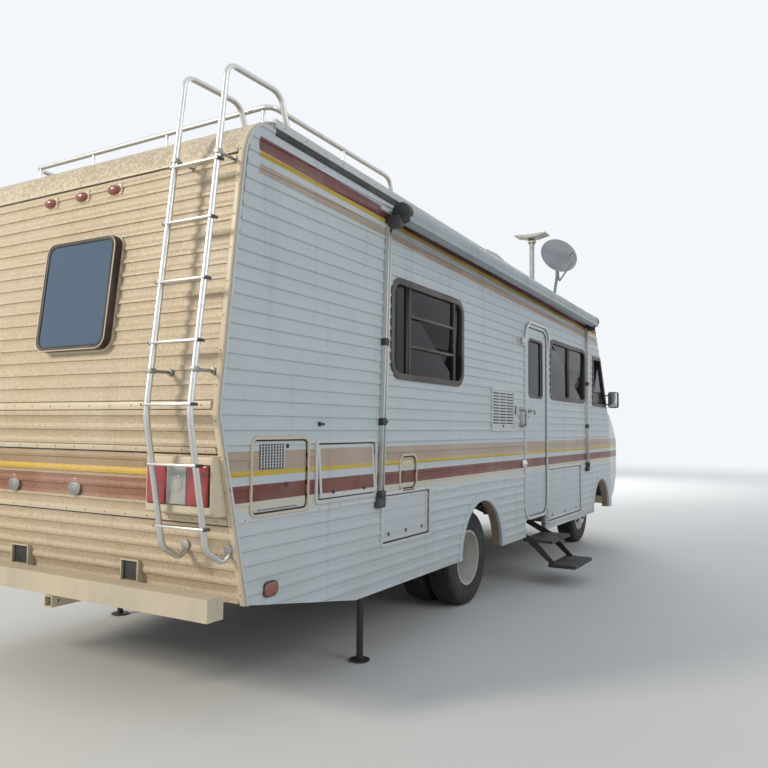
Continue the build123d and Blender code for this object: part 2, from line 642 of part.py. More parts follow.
# Window frames and panes
frame_cover = 16
rear_frame_proud = 50        # the rear window's frame is a deep box
with BuildPart() as window_frames:
    for side in (-1, 1):
        outer = half_width * side
        for face_y, depth, grow in ((outer + frame_proud * side, frame_proud, frame_cover), (outer, wall, 0)):
            with BuildSketch(side_plane(max(face_y, face_y - depth * side))):
                for x0, x1, z0, z1, r, _ in window_rows:
                    with Locations(((x0 + x1) / 2, (z0 + z1) / 2)):
                        RectangleRounded(x1 - x0 + 2 * grow, z1 - z0 + 2 * grow, r + grow)
                        RectangleRounded(x1 - x0 - 2 * frame_band, z1 - z0 - 2 * frame_band, r - frame_band,
                                         mode=Mode.SUBTRACT)
            extrude(amount=depth)
        for x0, x1, z0, z1, _, shares in window_rows:
            for share in shares:
                with Locations((x0 + share * (x1 - x0), outer - 10 * side, (z0 + z1) / 2)):
                    Box(26, 24, z1 - z0 - 2 * frame_band + 2)
    for depth, grow, start in ((rear_frame_proud, frame_cover, 0), (wall, 0, -wall)):
        with BuildSketch(rear_win_plane.offset(start)):
            RectangleRounded(rear_win_w + 2 * grow, rear_win_h + 2 * grow, rear_win_r + grow)
            RectangleRounded(rear_win_w - 2 * frame_band, rear_win_h - 2 * frame_band, rear_win_r - frame_band,
                             mode=Mode.SUBTRACT)
        extrude(amount=depth)
    for side in (-1, 1):
        outer = half_width * side
        for face_y, depth, grow in ((outer + frame_proud * side, frame_proud, frame_cover), (outer, wall, 0)):
            with BuildSketch(side_plane(max(face_y, face_y - depth * side))):
                with BuildLine():
                    FilletPolyline(*cab_window_points, radius=40, close=True)
                make_face()
                if grow:
                    offset(amount=grow)
                add(cab_pane.sketch_local, mode=Mode.SUBTRACT)
            extrude(amount=depth)
    add(rear_wall.part, mode=Mode.SUBTRACT)
save(window_frames, "window_frames")

with BuildPart() as window_glass:
    for side in (-1, 1):
        face_y = side * (half_width - 22)
        with BuildSketch(side_plane(max(face_y, face_y - glass_thick * side))):
            for x0, x1, z0, z1, r, _ in window_rows:
                with Locations(((x0 + x1) / 2, (z0 + z1) / 2)):
                    RectangleRounded(x1 - x0 - 2 * frame_band, z1 - z0 - 2 * frame_band, r - frame_band)
            add(cab_pane.sketch_local)
        extrude(amount=glass_thick)
    with BuildSketch(rear_win_plane.offset(-20)):
        RectangleRounded(rear_win_w - 2 * frame_band, rear_win_h - 2 * frame_band, rear_win_r - frame_band)
    extrude(amount=glass_thick)
    with BuildSketch(glass_plane.offset(-22)):
        for s in (-1, 1):
            with Locations((s * (pane_w + pane_post) / 2, pane_shift)):
                RectangleRounded(pane_w, pane_h, pane_r)
    extrude(amount=glass_thick)
save(window_glass, "window_glass")

# Grille, lamps and bumpers
grille_depth, grille_bar, grille_count, grille_post = 50, 10, 6, 24
with BuildPart() as grille:
    with BuildSketch(Plane.YZ.offset(nose_x - grille_depth + 6)):
        with Locations((0, lamp_z)):
            Rectangle(grille_w, grille_h)
            Rectangle(grille_w - 36, grille_h - 36, mode=Mode.SUBTRACT)
        with Locations((0, lamp_z)):
            with GridLocations(0, (grille_h - 18) / (grille_count + 1), 1, grille_count):
                Rectangle(grille_w - 30, grille_bar)
            with GridLocations(grille_w / 4, 0, 3, 1):
                Rectangle(grille_post, grille_h - 30)
    extrude(amount=grille_depth)
save(grille, "grille")

tail_y0, tail_y1, tail_z0, tail_z1 = half_width - 509, half_width - 86, 1085, 1295
tail_x = waist_x - 2
marker_z = 2850
marker_ys = (439, 139, -152)
side_lamp_x, side_lamp_z = -3668, 659
with BuildPart() as lamps:
    for s in (-1, 1):
        with BuildSketch(Plane.YZ.offset(nose_x - 60)):
            with Locations((s * lamp_y, lamp_z)):
                RectangleRounded(lamp_w, lamp_h, 25)
        extrude(amount=62)
        # cream wedge that holds the tail lamp upright against the leaning wall, and its lens
        with BuildSketch(side_plane(s * (tail_y0 + tail_y1) / 2 + (tail_y1 - tail_y0) / 2 + 20)):
            with BuildLine():
                Polyline(
                    (tail_x, tail_z1 + 40), (tail_x, tail_z0 - 20), (outline_x(tail_z0 - 60), tail_z0 - 60),
                    (outline_x(tail_z1 + 40), tail_z1 + 40), close=True,
                )
            make_face()
        extrude(amount=tail_y1 - tail_y0 + 40)
        with Locations((tail_x, s * (tail_y0 + tail_y1) / 2, (tail_z0 + tail_z1) / 2)):
            Box(14, tail_y1 - tail_y0, tail_z1 - tail_z0, align=(Align.MAX, Align.CENTER, Align.CENTER))
        with Locations((side_lamp_x, s * (half_width + 8), side_lamp_z)):
            Box(115, 16, 62)
    for y in marker_ys:
        with Locations(Location((outline_x(marker_z), y, marker_z), (0, -90 + degrees(lean), 0))):
            Cylinder(45, 22, align=(Align.CENTER, Align.CENTER, Align.MIN))
    add(rear_wall.part, mode=Mode.SUBTRACT)
save(lamps, "lamps")

bumper_front_x = nose_x + 67
bumper_z0, bumper_z1, bumper_half = 440, 550, half_width - 90
rear_beam, rear_beam_x, rear_beam_z, rear_beam_half = 110, -4020, 618, half_width - 40
leg_w, leg_sheet = 110, 24   # legs that hang the bumpers on the frame rails
leg_x = rail_x1 - 220
hitch_y, hitch_z, hitch_out = -30, 528, 60
stub_rows = ((404, 159), (-527, 134))   # square tube stubs over the rear beam: y and width
stub_z, stub_h, stub_out = 650, 120, 60
hitch_tube, hitch_sheet, hitch_pin_r, hitch_pin_in = 63, 6, 8, 45
with BuildPart() as bumpers:
    with BuildSketch(Plane.XY.offset(bumper_z0)):
        with BuildLine():
            front = ThreePointArc((nose_x - 60, -bumper_half), (bumper_front_x, 0), (nose_x - 60, bumper_half))
            back = ThreePointArc((nose_x - 150, -bumper_half), (bumper_front_x - 90, 0), (nose_x - 150, bumper_half))
            Line(front @ 0, back @ 0)
            Line(front @ 1, back @ 1)
        make_face()
    extrude(amount=bumper_z1 - bumper_z0)
    for s in (-1, 1):
        with Locations((leg_x, s * (rail_y + leg_sheet / 2), bumper_z0 + 15)):
            Box(bumper_front_x - 40 - leg_x, leg_sheet, 80, align=(Align.MIN, Align.CENTER, Align.MIN))
            Box(leg_w, leg_sheet, rail_top - rail_depth + leg_w - bumper_z0, align=(Align.MIN, Align.CENTER, Align.MIN))
    with Locations((rear_beam_x, 0, rear_beam_z)):
        Box(rear_beam, 2 * rear_beam_half, rear_beam)
    bracket_z = rear_beam_z - rear_beam / 2
    for s in (-1, 1):
        with Locations((rear_beam_x, s * (rail_y + leg_sheet / 2), bracket_z)):
            Box(rail_x0 - rear_beam_x + 160, leg_sheet, 36, align=(Align.MIN, Align.CENTER, Align.MIN))
        with Locations((rail_x0 + 40, s * (rail_y + leg_sheet / 2), bracket_z)):
            Box(leg_w, leg_sheet, rail_top - 60 - bracket_z, align=(Align.MIN, Align.CENTER, Align.MIN))
    with Locations((rear_beam_x - 20, hitch_y, hitch_z)):
        Box(75, hitch_tube, bracket_z - hitch_z + 4, align=(Align.MIN, Align.CENTER, Align.MIN))
    for y, width in stub_rows:
        with Locations((rear_foot_x - stub_out, y + width / 2, stub_z + stub_h / 2)):
            Box(stub_out, width, stub_h, align=(Align.MIN, Align.CENTER, Align.CENTER))
            Box(20, width - 16, stub_h - 16, align=(Align.MIN, Align.CENTER, Align.CENTER), mode=Mode.SUBTRACT)
    with Locations((rear_beam_x - hitch_out, hitch_y, hitch_z)):
        bore = hitch_tube - 2 * hitch_sheet
        Box(400, hitch_tube, hitch_tube, align=(Align.MIN, Align.CENTER, Align.CENTER))
        Box(380, bore, bore, align=(Align.MIN, Align.CENTER, Align.CENTER), mode=Mode.SUBTRACT)
    with Locations(Location((rear_beam_x - hitch_out + hitch_pin_in, hitch_y, hitch_z), (90, 0, 0))):
        Cylinder(hitch_pin_r, 2 * hitch_tube, mode=Mode.SUBTRACT)
    add(rear_wall.part, mode=Mode.SUBTRACT)
save(bumpers, "bumpers")

# Rear ladder: two stiles that follow the bulged wall, hooked in at the foot and looped over the roof
tube_r = 12.5
ladder_off = 150
ladder_ys = (411 - half_width, 73 - half_width)
rung_zs = (997, 1297, 1587, 1887, 2194, 2509, 2853)
loop_z = 3300
standoff_zs = (1620, 2790)


def ladder_path(y):
    """Stile centre line at y, from its hook in the wall to its foot on the roof."""
    rows = ((840, 0), (820, 90), (880, ladder_off), (1545, ladder_off), (2440, ladder_off), (2900, ladder_off))
    points = [(outline_x(z) - away, y, z) for z, away in rows]
    top_x = outline_x(2900) - ladder_off + 70
    points += [(top_x, y, loop_z), (-3480, y, loop_z - 60), (-3450, y, roof_z(-3450) - 4)]
    return points


with BuildPart() as ladder:
    for y in ladder_ys:
        with BuildLine() as stile:
            FilletPolyline(*ladder_path(y), radius=(40, 45, 60, 60, 60, 90, 60))
        with BuildSketch(Plane(origin=stile.line @ 0, z_dir=stile.line % 0)):
            Circle(tube_r)
        sweep(path=stile.line)
        for z in standoff_zs:
            with Locations((outline_x(z) - ladder_off, y, z)):
                Box(ladder_off + 20, 20, 20, align=(Align.MIN, Align.CENTER, Align.CENTER))
    for z in rung_zs:
        with Locations((outline_x(z) - ladder_off, sum(ladder_ys) / 2, z)):
            Box(42, ladder_ys[0] - ladder_ys[1] + 60, 24)
    add(rear_wall.part, mode=Mode.SUBTRACT)
    add(roof_panel.part, mode=Mode.SUBTRACT)
save(ladder, "ladder")

# Roof rail: one bent tube round the rear end, on posts
roof_rail_z, roof_rail_y, roof_rail_x0, roof_rail_x1 = 95, half_width - 120, -3620, -2050
with BuildPart() as roof_rails:
    rail_rows = (
        (roof_rail_x1, -1), (roof_rail_x1 - 90, -1), (roof_rail_x0, -1),
        (roof_rail_x0, 1), (roof_rail_x1 - 90, 1), (roof_rail_x1, 1),
    )
    points = []
    for n, (x, s) in enumerate(rail_rows):
        foot = n in (0, 5)
        points.append((x, s * roof_rail_y, roof_z(x) - (4 if foot else -roof_rail_z)))
    with BuildLine() as rail_line:
        FilletPolyline(*points, radius=(60, 110, 110, 60))
    with BuildSketch(Plane(origin=rail_line.line @ 0, z_dir=rail_line.line % 0)):
        Circle(tube_r)
    sweep(path=rail_line.line)
    for x, y in ((roof_rail_x0, -450), (roof_rail_x0, 450), (roof_rail_x0 + 640, -roof_rail_y),
                 (roof_rail_x0 + 640, roof_rail_y), (roof_rail_x0 + 130, -roof_rail_y),
                 (roof_rail_x0 + 130, roof_rail_y)):
        with Locations((x, y, roof_z(x) - 4)):
            Cylinder(tube_r - 1, roof_rail_z, align=(Align.CENTER, Align.CENTER, Align.MIN))
    add(roof_panel.part, mode=Mode.SUBTRACT)
save(roof_rails, "roof_rails")

# Roof furniture
ac_x0, ac_x1, ac_y0, ac_y1, ac_h = door_x0 + 65, door_x0 + 1015, -720, 0, 400
with BuildPart() as air_conditioner:
    with Locations(((ac_x0 + ac_x1) / 2, (ac_y0 + ac_y1) / 2, roof_z(ac_x1))):
        Box(ac_x1 - ac_x0, ac_y1 - ac_y0, ac_h, align=(Align.CENTER, Align.CENTER, Align.MIN))
    fillet(air_conditioner.edges().filter_by(Axis.Z), 120)
    fillet(air_conditioner.faces().sort_by(Axis.Z)[-1].edges(), 70)
    with BuildSketch(side_plane(half_width)):
        add(body_face.sketch_local)
    extrude(amount=2 * half_width, mode=Mode.SUBTRACT)
save(air_conditioner, "air_conditioner")

with BuildPart() as roof_vent_lid:
    with BuildSketch(Plane.XY.offset(roof_z(vent_x) + 22)):
        with Locations((vent_x, vent_y)):
            RectangleRounded(vent_size, vent_size, 30)
    extrude(amount=vent_h, taper=12)
save(roof_vent_lid, "roof_vent_lid")

wing_half, wing_chord, wing_thick, wing_rise = 200, 190, 34, 30
wing_pin_r, wing_ear = 8, 10
wing_pin_z = pivot_z + mast_h
with BuildPart() as antenna_mast:
    with Locations((mast_x, mast_y, pivot_z)):
        Cylinder(mast_r, mast_h, align=(Align.CENTER, Align.CENTER, Align.MIN))
    with Locations(Location((mast_x, mast_y, pivot_z), (90, 0, 0))):
        Cylinder(28, 60)
        Cylinder(pivot_r + bearing_gap, 80, mode=Mode.SUBTRACT)
    with Locations(Location((mast_x, mast_y, wing_pin_z), (90, 0, 0))):
        Cylinder(mast_r + 6, 2 * mast_r + 6)
        Cylinder(wing_pin_r, 2 * (mast_r + 12 + wing_ear))
save(antenna_mast, "antenna_mast")

# Wing of the aerial, kept level by its own pin at the mast's top
wing_z = wing_pin_z + 60
with BuildPart() as antenna_wing:
    with BuildSketch(Plane.YZ.offset(mast_x - wing_chord / 2)):
        with BuildLine():
            Polyline(
                (mast_y - wing_half, wing_z + wing_rise), (mast_y, wing_z + wing_thick / 2),
                (mast_y + wing_half, wing_z + wing_rise), (mast_y + wing_half, wing_z + wing_rise - 16),
                (mast_y + 60, wing_z - wing_thick / 2), (mast_y - 60, wing_z - wing_thick / 2),
                (mast_y - wing_half, wing_z + wing_rise - 16), close=True,
            )
        make_face()
    extrude(amount=wing_chord)
    for s in (-1, 1):
        with Locations((mast_x, mast_y + s * (mast_r + 8 + wing_ear / 2), wing_pin_z - 16)):
            Box(36, wing_ear, wing_z - wing_pin_z + 10, align=(Align.CENTER, Align.CENTER, Align.MIN))
    with Locations(Location((mast_x, mast_y, wing_pin_z), (90, 0, 0))):
        Cylinder(wing_pin_r + bearing_gap, 200, mode=Mode.SUBTRACT)
save(antenna_wing, "antenna_wing")

# Satellite dish on its bent mast
dish_x, dish_y, dish_z, dish_r, dish_depth, dish_sheet = roof_front_x - 196, -800, 3770, 250, 40, 4
dish_foot_x = roof_front_x - 466
dish_aim = Vector(-0.7, -0.62, 0.34).normalized()
with BuildPart() as satellite_dish:
    dish_plane = Plane(origin=(dish_x, dish_y, dish_z), z_dir=dish_aim, x_dir=Vector(0, 0, 1).cross(dish_aim))
    section = Plane(origin=dish_plane.origin, x_dir=dish_plane.x_dir, z_dir=-dish_plane.y_dir)
    with BuildSketch(section):
        with BuildLine():
            face = [(share * dish_r, -dish_depth * (1 - share ** 2)) for share in (0, 0.4, 0.75, 1)]
            back_side = [(r, z - dish_sheet) for r, z in reversed(face)]
            Polyline(*face, *back_side, close=True)
        make_face()
    revolve(axis=Axis(dish_plane.origin, dish_plane.z_dir))
    back = dish_plane.origin - dish_plane.z_dir * (dish_depth + 32)
    with BuildLine() as dish_mast:
        FilletPolyline((dish_foot_x, dish_y, roof_z(dish_foot_x) - 4), (dish_foot_x, dish_y, roof_z(dish_foot_x) + 130),
                       (back.X, back.Y, dish_z - 260), back, radius=(60, 80))
    with BuildSketch(Plane(origin=dish_mast.line @ 0, z_dir=dish_mast.line % 0)):
        Circle(19)
    sweep(path=dish_mast.line)
    with Locations(Plane(origin=back, z_dir=dish_plane.z_dir)):
        Cylinder(45, 60, align=(Align.CENTER, Align.CENTER, Align.CENTER))
    # feed arm: from the back, down past the rim, forward and up to the feed
    arm_points = [back]
    for forward, down in ((-119, 327), (340, 292), (328, 171)):
        arm_points.append(dish_plane.origin + dish_plane.z_dir * forward - dish_plane.y_dir * down)
    with BuildLine() as arm_line:
        FilletPolyline(*arm_points, radius=25)
    with BuildSketch(Plane(origin=back, z_dir=arm_line.line % 0)):
        Circle(11)
    sweep(path=arm_line.line)
    with Locations(Plane(origin=arm_points[-1], z_dir=dish_plane.z_dir)):
        Cylinder(26, 90)
    with Locations((dish_foot_x, dish_y, roof_z(dish_foot_x) - 6)):
        Cylinder(70, 12, align=(Align.CENTER, Align.CENTER, Align.MIN))
    add(roof_panel.part, mode=Mode.SUBTRACT)
save(satellite_dish, "satellite_dish")

# Awning: roller along the roof edge, carried by two nested arms with feet on the wall
roller_r, roller_y = 58, half_width + 110
roller_rows = ((-2590, 2904), (roof_front_x - 521, 2808))
arm_w, arm_d, arm_foot_z = 40, 30, 985
with BuildPart() as awning:
    (x0, z0), (x1, z1) = roller_rows
    with BuildSketch(Plane(origin=(x0, -roller_y, z0), z_dir=(x1 - x0, 0, z1 - z0))):
        Circle(roller_r)
    extrude(amount=((x1 - x0) ** 2 + (z1 - z0) ** 2) ** 0.5)
    for x, z in roller_rows:
        with Locations((x, -half_width - 2, arm_foot_z)):
            Box(arm_w, arm_d, z - arm_foot_z - 20, align=(Align.CENTER, Align.MAX, Align.MIN))
        with Locations((x, -half_width - 2, z - 90)):
            Box(arm_w - 8, roller_y - half_width, 70, align=(Align.CENTER, Align.MAX, Align.MIN))
        with Locations((x, -half_width, arm_foot_z - 10)):
            Box(90, 26, 70, align=(Align.CENTER, Align.MAX, Align.MIN))
        with Locations((x, -half_width, z - 260)):
            Box(60, 10, 60, align=(Align.CENTER, Align.MAX, Align.MIN))
save(awning, "awning")

# Double entry step, let down under the door
step_x0, step_x1 = door_x0 + 27, door_x1 - 28
tread_rows = ((30 - half_width, -half_width - 260, 425), (-half_width - 220, -half_width - 480, 205))
with BuildPart() as entry_step:
    for y0, y1, z in tread_rows:
        with Locations(((step_x0 + step_x1) / 2, (y0 + y1) / 2, z)):
            Box(step_x1 - step_x0, y0 - y1, 30, align=(Align.CENTER, Align.CENTER, Align.MAX))
    for x in (step_x0 + 15, step_x1 - 15):
        with BuildSketch(Plane.YZ.offset(x - 4)):
            with BuildLine():
                Polyline((320 - half_width, 620), (320 - half_width, 560), (-half_width - 10, 395),
                         (-half_width - 250, 190), (-half_width - 310, 190), (-half_width - 80, 425), close=True)
            make_face()
        extrude(amount=8)
    with Locations(((step_x0 + step_x1) / 2, 280 - half_width, 560)):
        Box(step_x1 - step_x0, 60, well_z - 560, align=(Align.CENTER, Align.CENTER, Align.MIN))
save(entry_step, "entry_step")

# Door mirrors on bracket arms at the windscreen pillars
mirror_x, mirror_y, mirror_z, mirror_w, mirror_h = glass_foot_x - 105, half_width + 105, 1883, 130, 215
with BuildPart() as mirrors:
    for s in (-1, 1):
        with Locations((mirror_x, s * mirror_y, mirror_z)):
            Box(55, mirror_w, mirror_h)
        for z in (-60, 60):
            with Locations((mirror_x + 20, s * (half_width - 30), mirror_z + z)):
                Box(16, mirror_y - half_width + 20, 16, align=(Align.CENTER, Align.MAX if s < 0 else Align.MIN, Align.CENTER))
    fillet(mirrors.edges().filter_by(Axis.X).filter_by(lambda e: abs(e.center().Y) > half_width + 20
           and abs(e.center().Z - mirror_z) > 90), 25)
    for solid in (wall_right.part, wall_left.part, front_cap.part):
        add(solid, mode=Mode.SUBTRACT)
save(mirrors, "mirrors")

# Cab fittings: dash, engine cover, seats and steering wheel
seat_x, seat_y, seat_w = glass_foot_x - 1180, 640, 520
dash_x = glass_foot_x - 260
with BuildPart() as cab_fittings:
    with BuildSketch(side_plane(inner_half - 10)):
        with BuildLine():
            Polyline((dash_x, floor_top), (dash_x - 40, 1620), (dash_x, 1700), (dash_x + 220, 1740),
                     (dash_x + 290, 1690), (dash_x + 290, floor_top), close=True)
        make_face()
    extrude(amount=2 * (inner_half - 10))
    with Locations(((engine_x0 + engine_x1) / 2 + 5, 0, floor_top)):
        Box(engine_x1 - engine_x0 + 120, 2 * engine_half + 120, 240, align=(Align.CENTER, Align.CENTER, Align.MIN))
        Box(engine_x1 - engine_x0 + 80, 2 * engine_half + 80, 220, align=(Align.CENTER, Align.CENTER, Align.MIN),
            mode=Mode.SUBTRACT)
    for s in (-1, 1):
        with Locations((seat_x, s * seat_y, floor_top)):
            Box(320, 320, 330, align=(Align.CENTER, Align.CENTER, Align.MIN))
        with Locations((seat_x, s * seat_y, floor_top + 330)):
            Box(500, seat_w, 130, align=(Align.CENTER, Align.CENTER, Align.MIN))
        with BuildSketch(side_plane(s * seat_y + seat_w / 2)):
            with BuildLine():
                Polyline((seat_x - 250, floor_top + 400), (seat_x - 140, floor_top + 430),
                         (seat_x - 260, floor_top + 1130), (seat_x - 360, floor_top + 1120), close=True)
            make_face()
        extrude(amount=seat_w)
    wheel_plane_tilt = Plane(origin=(dash_x - 260, seat_y, 1690), z_dir=(-0.65, 0, 0.76))
    with BuildSketch(Plane(origin=wheel_plane_tilt.origin, x_dir=wheel_plane_tilt.x_dir,
                           z_dir=wheel_plane_tilt.y_dir)):
        with Locations((195, 0)):
            RegularPolygon(13, 6)
    revolve(axis=Axis(wheel_plane_tilt.origin, wheel_plane_tilt.z_dir))
    with BuildSketch(wheel_plane_tilt.offset(-12)):
        Rectangle(380, 30)
        Circle(50)
    extrude(amount=24)
    with BuildSketch(wheel_plane_tilt):
        Circle(24)
    extrude(amount=-330)
save(cab_fittings, "cab_fittings")

# Engine block, gearbox, shaft and exhaust
exhaust_y = 310
with BuildPart() as drive_line:
    with Locations(((engine_x0 + engine_x1) / 2, 0, engine_z0)):
        Box(engine_x1 - engine_x0, 2 * engine_half, engine_z1 - engine_z0, align=(Align.CENTER, Align.CENTER, Align.MIN))
    with Locations((engine_x0, 0, gearbox_z)):
        Box(650, 280, gearbox_h, align=(Align.MAX, Align.CENTER, Align.MIN))
    with BuildLine() as shaft_line:
        Line(shaft_front, shaft_rear)
    with BuildSketch(Plane(origin=shaft_line.line @ 0, z_dir=shaft_line.line % 0)):
        Circle(45)
    sweep(path=shaft_line.line)
    with BuildLine() as exhaust_line:
        FilletPolyline((engine_x0 + 200, -280, 690), (engine_x0 + 200, -exhaust_y, 610),
                       (engine_x0 - 300, -exhaust_y, 600), (rear_axle_x + 700, -exhaust_y, 600),
                       (rear_axle_x + 480, -exhaust_y, 640), radius=25)
    with BuildSketch(Plane(origin=exhaust_line.line @ 0, z_dir=exhaust_line.line % 0)):
        Circle(28)
    sweep(path=exhaust_line.line)
    with Locations(Location((door_x0 + 365, -exhaust_y, 600), (0, 90, 0))):
        Cylinder(80, 600)
save(drive_line, "drive_line")

# Fuel tank between the rails and the waste tank behind the rear axle
with BuildPart() as tanks:
    with Locations((-2900, 0, 560)):
        Box(900, 620, 260, align=(Align.CENTER, Align.CENTER, Align.MIN))
    with Locations((-2000, 760, 600)):
        Box(800, 560, rail_top - 600, align=(Align.CENTER, Align.CENTER, Align.MIN))
    fillet(tanks.edges().filter_by(Axis.X), 40)
save(tanks, "tanks")
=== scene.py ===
from math import cos, pi, radians, sin

import bpy
from mathutils import Matrix, Vector


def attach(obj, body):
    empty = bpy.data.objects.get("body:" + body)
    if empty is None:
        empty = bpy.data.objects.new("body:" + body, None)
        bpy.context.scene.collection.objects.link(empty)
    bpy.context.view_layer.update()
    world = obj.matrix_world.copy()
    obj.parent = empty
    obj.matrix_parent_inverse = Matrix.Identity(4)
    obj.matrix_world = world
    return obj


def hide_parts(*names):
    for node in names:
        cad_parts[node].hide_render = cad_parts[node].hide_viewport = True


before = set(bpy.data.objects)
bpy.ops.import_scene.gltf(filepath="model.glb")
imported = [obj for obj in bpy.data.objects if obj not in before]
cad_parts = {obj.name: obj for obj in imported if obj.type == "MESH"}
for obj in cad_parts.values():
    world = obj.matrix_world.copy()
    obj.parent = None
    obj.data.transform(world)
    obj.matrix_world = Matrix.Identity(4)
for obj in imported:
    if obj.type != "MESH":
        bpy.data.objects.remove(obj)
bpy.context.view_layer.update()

# A motorhome: ribbed white sides with warm stripes, a cream bulged rear wall, an aluminium ladder, brown
# window frames, an awning and roof fittings. Metres, +X forward, +Y to the vehicle's left, +Z up.

# Places shared by several pieces
HALF = 1.220                  # centre line to the side walls' face
RIGHT, LEFT = -1, 1
SIDES = ((RIGHT, "right"), (LEFT, "left"))
SKIRT = 0.442                 # lower edge of the skirts
TAIL_START = -2.263           # behind it the lower edge rises to the rear wall's foot

# Outlines as (x, z) points: the rear wall from its foot up to the roof, which has to stay convex because the
# siding is cut along its lines, the line just inside that wall, and the front edge of the sides
REAR_RUN = ((-3.850, 0.610), (-4.075, 1.545), (-3.943, 2.760), (-3.929, 2.860), (-3.912, 2.920),
            (-3.886, 2.970), (-3.850, 3.012), (-3.805, 3.045), (-3.750, 3.072), (-3.680, 3.094))
INNER_RUN = ((-4.050, 1.560), (-3.915, 2.440), (-3.780, 2.900), (-3.690, 3.085))
SEAM_RUN = ((2.891, 2.872), (3.532, 1.795), (3.656, 1.555), (3.780, 0.400))
CAP_SEAM = 2.872              # height of the seam between the rear wall and the rolled roof end
ROOF_START, ROOF_REAR_Z, ROOF_FALL = -3.700, 3.110, 0.02692     # the roof falls forward from its rear end

# Ribs of the siding. The sides' ribs are counted from RIB_START. The rear wall's ribs have their own start
# and pitch, and stand a little closer above SQUASH_FROM.
RIB_PITCH, RIB_DEPTH, RIB_START = 0.0744, 0.006, 0.2765
REAR_RIB_START, REAR_RIB_STRETCH, REAR_RIBS_HEIGHT = 0.6265, 1.018, 2.325
SQUASH_FROM, SQUASH = 1.600, 0.018
REAR_SKIN_HALF = 1.199        # half the width of the rear wall's skin

# Openings of the sides as x0, x1, z0, z1, corner radius, and the rear window as y0, y1, z0, z1
WINDOWS = ((-2.425, -1.268, 1.830, 2.490, 0.110), (1.036, 2.405, 1.816, 2.438, 0.090))
CAB_WINDOW = (2.790, 3.490, 1.795, 2.405)
CAB_WINDOW_HEAD = 3.168       # where the cab window's front edge, which leans back, meets its upper edge
REAR_WINDOW, WINDOW_FOOT = (-0.425, 0.150, 1.890, 2.520), 1.920     # its frame leans about this height
DOOR = (0.235, 0.890, 0.627, 2.497, 0.120)
STEP_WELL = (0.253, 0.872, 0.300, 0.600)
HATCHES = {                   # name: x0, x1, z0, z1, corner radius, side
    "appliance_door": (-3.830, -3.363, 1.045, 1.420, 0.030, RIGHT),
    "rear_hatch": (-3.265, -2.636, 1.075, 1.395, 0.010, RIGHT),
    "lower_storage_door": (-2.530, -1.863, 0.735, 1.045, 0.010, RIGHT),
    "filler_door": (-2.296, -2.068, 1.070, 1.294, 0.050, RIGHT),
    "front_storage_door": (0.940, 2.192, 0.520, 1.062, 0.010, RIGHT),
    "left_storage_door": (0.940, 2.192, 0.520, 1.062, 0.010, LEFT),
}
ARCHES = ((-0.820, 0.445), (3.226, 0.405))      # x of the middle, radius
REAR_AXLE, FRONT_AXLE, AXLE_Z = -0.820, 3.206, 0.392
TYRE_W, LUG_ROWS = 0.225, 68


def rear_x(z):
    """X of the rear wall's face at height z."""
    for (x0, z0), (x1, z1) in zip(REAR_RUN, REAR_RUN[1:]):
        if z <= z1:
            return x0 + (x1 - x0) * (z - z0) / (z1 - z0)
    return REAR_RUN[-1][0]


def hatches_of(side):
    """Corners and corner radius of each hatch in one side wall."""
    return [row[:5] for row in HATCHES.values() if row[5] == side]


def skin(side, out=0.0):
    """Y of a point that stands out from a side wall's face."""
    return side * (HALF + out)


def right_y(out):
    """Y of a point that stands out from the right wall's face."""
    return skin(RIGHT, out)


def layer(side, near, far):
    """Both y places, the lower one first, of what stands out from a side wall by near to far."""
    return sorted((skin(side, near), skin(side, far)))


def roof_z(x):
    """Height of the roof's face at x."""
    return ROOF_REAR_Z - ROOF_FALL * (x - ROOF_START)


# Selecting, placing and finishing pieces


def pick(*pieces):
    """Selects these pieces alone, with the first one active."""
    bpy.ops.object.select_all(action="DESELECT")
    for piece in pieces:
        piece.select_set(True)
    bpy.context.view_layer.objects.active = pieces[0]


def edit(piece):
    """Opens a piece in edit mode with all of it selected."""
    pick(piece)
    bpy.ops.object.mode_set(mode="EDIT")
    bpy.ops.mesh.select_all(action="SELECT")


def leave_edit():
    """Closes edit mode, which writes the changes to the mesh."""
    bpy.ops.object.mode_set(mode="OBJECT")


def smooth(piece, angle):
    """Shades a piece smooth across edges that turn by less than an angle in degrees."""
    pick(piece)
    bpy.ops.object.shade_smooth_by_angle(angle=radians(angle))
    return piece


def settle(piece):
    """Puts a piece's place, turn and size into its mesh."""
    pick(piece)
    bpy.ops.object.transform_apply(location=True, rotation=True, scale=True)
    return piece


def modify(piece, kind, **settings):
    """Adds a modifier and applies it."""
    change = piece.modifiers.new(kind.lower(), kind)
    for key, value in settings.items():
        setattr(change, key, value)
    pick(piece)
    bpy.ops.object.modifier_apply(modifier=change.name)
    return piece


def soften(piece, width, segments=2, angle=35):
    """Rounds a piece's sharp edges and shades it smooth."""
    modify(piece, "BEVEL", width=width, segments=segments, limit_method="ANGLE", angle_limit=radians(30))
    return smooth(piece, angle)


def cut(piece, *cutters):
    """Cuts closed cutters out of a closed piece and deletes them."""
    tool = join("cutter", cutters) if len(cutters) > 1 else cutters[0]
    modify(piece, "BOOLEAN", operation="DIFFERENCE", object=tool, solver="EXACT")
    bpy.data.objects.remove(tool)
    return piece


def join(name, pieces):
    """Joins pieces into one mesh."""
    pieces = list(pieces)
    pick(*pieces)
    if len(pieces) > 1:
        bpy.ops.object.join()
    pieces[0].name = name
    return pieces[0]


def copy_to(piece, offset):
    """A copy of a piece with its own mesh, moved by offset."""
    twin = piece.copy()
    twin.data = piece.data.copy()
    bpy.context.collection.objects.link(twin)
    twin.data.transform(Matrix.Translation(offset))
    return twin


